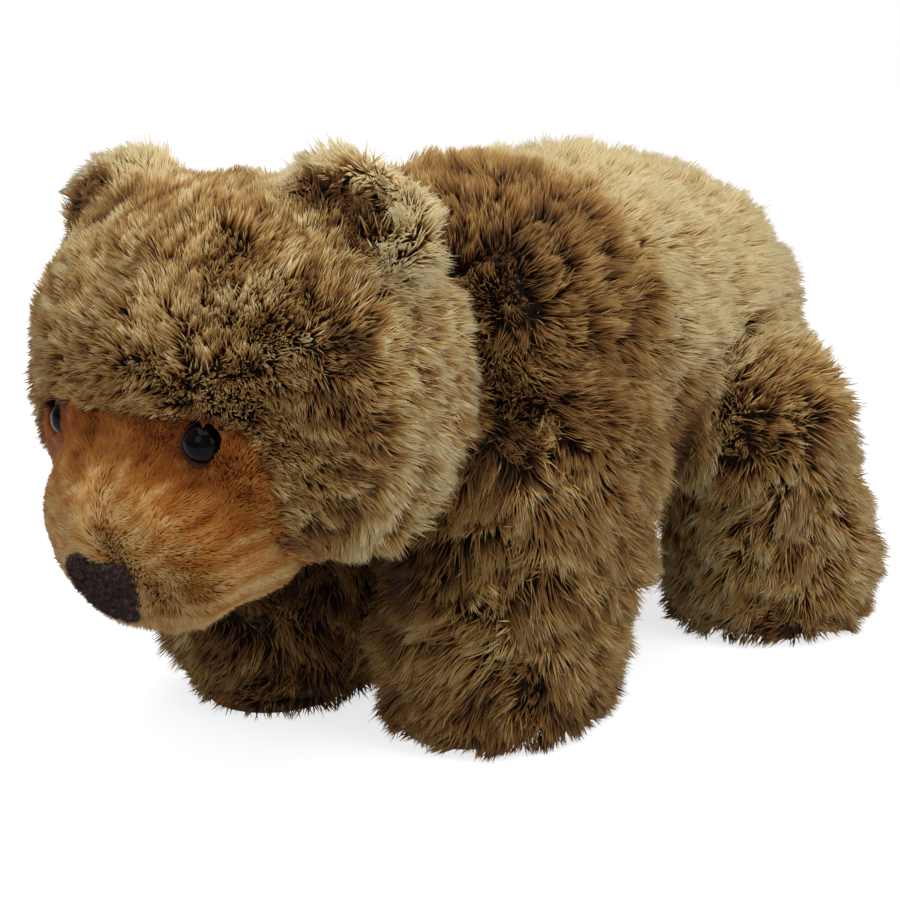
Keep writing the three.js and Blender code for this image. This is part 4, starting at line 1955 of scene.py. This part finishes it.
@dataclass
class Eye:
    """A domed safety eye on its felt disc."""

    side: str
    disc_radius: float = 5.6       # kept free of the pile's roots
    clear_radius: float = 4.3      # kept free of its tips
    brow_radius: float = 2.6       # the same above the eye, where the brow hangs over it
    brow: Step = Step(0.2, 0.8)    # how far above its middle a place has to be for that
    dome_rings: int = 24
    sides: int = 48
    disc_half: float = 0.75        # half the disc's thickness
    disc_rings: int = 9

    def centre_and_axis(self) -> tuple[Array, Array]:
        """The eye's middle, in metres, and the way that it looks, from its frame node."""
        centre, axes, _ = self.frame_of(f"eye_{self.side}")
        return centre, axes[2]

    def frame_of(self, name: str) -> tuple[Array, Array, Array]:
        """Measures a round frame node.

        Args:
            name: the node.

        Returns:
            Its middle, its axes as rows with the shortest last, and half its size along each.
        """
        shape = merged_copy(name)
        points = np.array([vertex.co for vertex in shape.verts])
        shape.free()
        centre = (points.min(0) + points.max(0)) / 2
        _, axes = np.linalg.eigh(np.cov((points - points.mean(0)).T))
        axes = axes.T[::-1]
        outward = centre - centre_of("head")
        if axes[2] @ outward < 0:
            axes[2] = -axes[2]
        axes[0] = np.cross(axes[1], axes[2])
        return centre, axes, np.abs((points - centre) @ axes.T).max(0)

    def build(self, acrylic: Material, felt: Material) -> None:
        """Builds the dome and the disc.

        Args:
            acrylic: the dome's material.
            felt: the disc's material.
        """
        centre, axes, half = self.frame_of(f"eye_{self.side}")
        radius, height = (half[0] + half[1]) / 2, half[2]
        steps = np.linspace(-math.pi / 2, math.pi / 2, self.dome_rings)
        profile = [(radius * math.cos(a), height * math.sin(a)) for a in steps]
        dome = turned(f"eye_dome_{self.side}", centre, axes, profile, self.sides)
        dress(dome, (f"eye_{self.side}",), (acrylic,))

        disc_name = f"eye_disc_{self.side}"
        centre, axes, half = self.frame_of(disc_name)
        radius, thick = (half[0] + half[1]) / 2, self.disc_half * MM
        steps = np.linspace(-math.pi / 2, math.pi / 2, self.disc_rings)
        edge = [(radius - thick + thick * math.cos(a), thick * math.sin(a)) for a in steps]
        profile = [(0.0, -thick), *edge, (0.0, thick)]
        disc = turned(f"eye_felt_{self.side}", centre, axes, profile, self.sides)
        dress(disc, (disc_name,), (felt,))


@dataclass
class Fuzz:
    """Loose fibres that stand on felt or cloth, scattered by Geometry Nodes."""

    length: float
    radius: float
    density: float         # on a square mm
    lean: float            # degrees either way
    seed: int
    shortest: float = 0.5  # as a share of the usual length
    longest: float = 1.3

    def tree(self, material: Material) -> NodeTree:
        """Builds the node tree.

        Args:
            material: the fibres' material.

        Returns:
            A tree that keeps the piece and adds fibres to it.
        """
        tree = bpy.data.node_groups.new("fuzz", "GeometryNodeTree")
        face = tree.interface
        face.new_socket("Geometry", in_out="INPUT", socket_type="NodeSocketGeometry")
        for name in ("Length", "Radius", "Density"):
            face.new_socket(name, in_out="INPUT", socket_type="NodeSocketFloat")
        face.new_socket("Geometry", in_out="OUTPUT", socket_type="NodeSocketGeometry")
        given = add_node(tree, "NodeGroupInput").outputs
        scatter = add_node(tree, "GeometryNodeDistributePointsOnFaces", {
            "Mesh": given["Geometry"], "Density": given["Density"], "Seed": self.seed})
        fibre = add_node(tree, "GeometryNodeMeshCone", {
            "Radius Bottom": given["Radius"], "Depth": given["Length"], "Vertices": 3})
        lean = math.radians(self.lean)
        turn = add_node(tree, "FunctionNodeRandomValue", {
            0: (-lean, -lean, -math.pi), 1: (lean, lean, math.pi), "Seed": self.seed + 1},
            data_type="FLOAT_VECTOR")
        euler = add_node(tree, "FunctionNodeEulerToRotation", {0: turn.outputs[0]})
        stand = add_node(tree, "FunctionNodeRotateRotation", {
            "Rotation": scatter.outputs["Rotation"], "Rotate By": euler.outputs[0]},
            rotation_space="LOCAL")
        size = add_node(tree, "FunctionNodeRandomValue", {
            "Min": self.shortest, "Max": self.longest, "Seed": self.seed + 2})
        placed = add_node(tree, "GeometryNodeInstanceOnPoints", {
            "Points": scatter.outputs["Points"], "Instance": fibre.outputs["Mesh"],
            "Rotation": stand.outputs[0], "Scale": size.outputs[1]})
        real = add_node(tree, "GeometryNodeRealizeInstances", {0: placed.outputs[0]})
        dyed = add_node(tree, "GeometryNodeSetMaterial", {
            "Geometry": real.outputs[0], "Material": material})
        both = add_node(tree, "GeometryNodeJoinGeometry")
        tree.links.new(dyed.outputs[0], both.inputs[0])
        tree.links.new(given["Geometry"], both.inputs[0])
        add_node(tree, "NodeGroupOutput", {0: both.outputs[0]})
        return tree

    def grow_on(self, obj: Object, material: Material) -> None:
        """Adds the fibres to a piece, as plain mesh.

        Args:
            obj: the piece.
            material: the fibres' material.
        """
        tree = self.tree(material)
        modifier = obj.modifiers.new("fuzz", "NODES")
        modifier.node_group = tree
        values = {"Length": self.length * MM, "Radius": self.radius * MM, "Density": self.density / MM ** 2}
        for socket in tree.interface.items_tree:
            if socket.name in values:
                modifier[socket.identifier] = values[socket.name]
        settle(obj)


@dataclass
class Nose:
    """The felt nose, a soft rounded patch sewn on the muzzle's tip."""

    mesh_size: float = 0.45
    rounds: int = 8                # of smoothing
    puff: float = 0.5              # how far the felt stands out
    lump: float = 0.35             # height of its lumps
    lumps: tuple[Uneven, ...] = (Uneven(0.6, 5, 31), Uneven(0.5, 2, 32))

    PILE_GAP = 0.7                 # mm of muzzle pile cleared round it

    def build(self, felt: Material) -> None:
        """Builds the nose.

        Args:
            felt: its material.
        """
        shape = merged_copy("nose")
        mesh = bpy.data.meshes.new("nose_felt")
        shape.to_mesh(mesh)
        shape.free()
        obj = linked_object("nose_felt", mesh)
        remesh(obj, self.mesh_size)
        surface = Surface(obj.data)
        surface.move(surface.smooth(surface.points, self.rounds))
        height = self.puff + self.lump * sum(lump.at(surface.points) for lump in self.lumps)
        surface.move(surface.points + surface.normals * height * MM)
        shade_smooth(obj.data)
        obj.data.materials.append(felt)
        Fuzz(length=1.3, radius=0.07, density=7.0, lean=62, seed=5).grow_on(obj, felt)
        dress(obj, ("nose",), (felt,))


@dataclass
class Sole:
    """A short-pile pad that closes a foot."""

    node: str
    inside: float = 0.82           # its size as a share of the frame's, so that the foot's pile hides its rim
    sides: int = 72
    edge_steps: int = 7
    rings: int = 12

    def build(self, backing: Material) -> None:
        """Builds the pad.

        Args:
            backing: its material.
        """
        low, high = box_of(self.node)
        centre, half = (low + high) / 2, (high - low) / 2 * np.array([self.inside, self.inside, 1])
        flat = np.linspace(0, 1, self.rings)[:-1]
        steps = np.linspace(-math.pi / 2, math.pi / 2, self.edge_steps)
        profile = [(share, -1.0) for share in flat]
        profile += [(1 - half[2] / half[0] * (1 - math.cos(a)), math.sin(a)) for a in steps]
        profile += [(share, 1.0) for share in flat[::-1]]
        obj = turned(self.node + "_pad", centre, np.diag(half), profile, self.sides)
        dress(obj, (self.node,), (backing,))


# ---------------------------------------------------------------- studio


@dataclass
class Studio:
    """A white table and soft lamps, with the camera's place."""

    azimuth: float = 42.0          # degrees
    elevation: float = 15.0
    distance: float = 0.630        # metres, as are all lengths here
    aim: tuple[float, float, float] = (0.0, -0.0096, 0.076)
    lens_mm: float = 76.0
    sensor_mm: float = 36.0
    nearest: float = 0.01          # what the camera sees
    farthest: float = 50
    table: float = 12.0
    world_level: float = 0.40
    floor_colour: str = "#d2d4d8"
    floor_roughness: float = 0.9
    floor_glow: float = 0.74       # what the white floor shows the camera over its own lit colour

    # each lamp's name, place, size and power in watts
    LAMPS = (("overhead", (0.15, -0.1, 1.3), 1.1, 9.9),
             ("front", (0.35, -1.1, 0.9), 0.6, 2.6),
             ("side", (1.2, 0.2, 0.7), 0.7, 4.2))

    def build(self) -> None:
        """Builds camera, lamps, world and floor."""
        self.camera()
        self.lamps()
        self.world()
        self.floor()
        bpy.context.scene.view_settings.view_transform = "Standard"

    def camera(self) -> None:
        """Puts the camera in its place."""
        data = bpy.data.cameras.new("camera")
        data.lens, data.sensor_width = self.lens_mm, self.sensor_mm
        data.clip_start, data.clip_end = self.nearest, self.farthest
        camera = bpy.data.objects.new("camera", data)
        bpy.context.scene.collection.objects.link(camera)
        turn, rise = math.radians(self.azimuth), math.radians(self.elevation)
        back = Vector((math.sin(turn) * math.cos(rise), -math.cos(turn) * math.cos(rise), math.sin(rise)))
        camera.location = Vector(self.aim) + back * self.distance
        camera.rotation_euler = back.to_track_quat("Z", "Y").to_euler()
        bpy.context.scene.camera = camera

    def lamps(self) -> None:
        """Hangs the soft lamps: one big overhead, one window-like in front and one at the side."""
        middle = (Vector(CAD_BOX[0]) + Vector(CAD_BOX[1])) / 2
        for name, place, size, power in self.LAMPS:
            data = bpy.data.lights.new(name, "AREA")
            data.shape, data.size, data.energy = "SQUARE", size, power
            lamp = bpy.data.objects.new(name, data)
            lamp.location = place
            lamp.rotation_euler = (lamp.location - middle).to_track_quat("Z", "Y").to_euler()
            bpy.context.scene.collection.objects.link(lamp)

    def seen(self, tree: NodeTree) -> NodeSocket:
        """Tells the rays that see the floor from those that it only lights.

        Args:
            tree: the floor's node tree.

        Returns:
            1 for rays from the camera or by way of gloss or glass, and 0 for others.
        """
        path = add_node(tree, "ShaderNodeLightPath")
        first = add_node(tree, "ShaderNodeMath", {0: path.outputs["Is Camera Ray"],
                                                  1: path.outputs["Is Glossy Ray"]}, operation="MAXIMUM")
        return add_node(tree, "ShaderNodeMath", {0: first.outputs[0],
                                                 1: path.outputs["Is Transmission Ray"]},
                        operation="MAXIMUM").outputs[0]

    def world(self) -> None:
        """A white room: white where it is seen, softer where it lights."""
        world = bpy.data.worlds.new("room")
        world.use_nodes = True
        bpy.context.scene.world = world
        tree = world.node_tree
        tree.nodes.clear()
        light = add_node(tree, "ShaderNodeBackground", {"Color": linear("#ffffff"),
                                                        "Strength": self.world_level})
        white = add_node(tree, "ShaderNodeBackground", {"Color": linear("#ffffff"), "Strength": 1.0})
        path = add_node(tree, "ShaderNodeLightPath")
        mix = add_node(tree, "ShaderNodeMixShader", {0: path.outputs["Is Camera Ray"],
                                                     1: light.outputs[0], 2: white.outputs[0]})
        add_node(tree, "ShaderNodeOutputWorld", {"Surface": mix.outputs[0]})

    def floor(self) -> None:
        """A pale floor that shows white and keeps the toy's shadow."""
        half = self.table / 2
        mesh = bpy.data.meshes.new("floor")
        mesh.from_pydata([(-half, -half, 0), (half, -half, 0), (half, half, 0), (-half, half, 0)], [],
                         [(0, 1, 2, 3)])
        floor = linked_object("floor", mesh)
        material, tree, shader = new_material("white_paper")
        shader.inputs["Base Color"].default_value = linear(self.floor_colour)
        shader.inputs["Roughness"].default_value = self.floor_roughness
        shader.inputs["Specular IOR Level"].default_value = 0.0
        glow = add_node(tree, "ShaderNodeMath", {0: self.seen(tree), 1: self.floor_glow},
                        operation="MULTIPLY")
        shader.inputs["Emission Color"].default_value = linear("#ffffff")
        tree.links.new(glow.outputs[0], shader.inputs["Emission Strength"])
        floor.data.materials.append(material)


# ---------------------------------------------------------------- the toy


def main() -> None:
    """Builds the studio and the toy, piece by piece."""
    logging.basicConfig(level=logging.INFO, format="%(name)s: %(message)s")
    Studio().build()
    skin = Skin()
    skin.build()
    Coat(skin).build()
    skin.dress()
    acrylic, disc_felt = EYE_ACRYLIC.material(), DISC_FELT.material()
    for side in SIDES:
        Eye(side).build(acrylic, disc_felt)
    Nose().build(NOSE_FELT.material())
    backing = SOLE_BACKING.material()
    for leg in LEGS:
        Sole(leg.value.replace("leg", "sole")).build(backing)


if __name__ == "__main__":
    main()
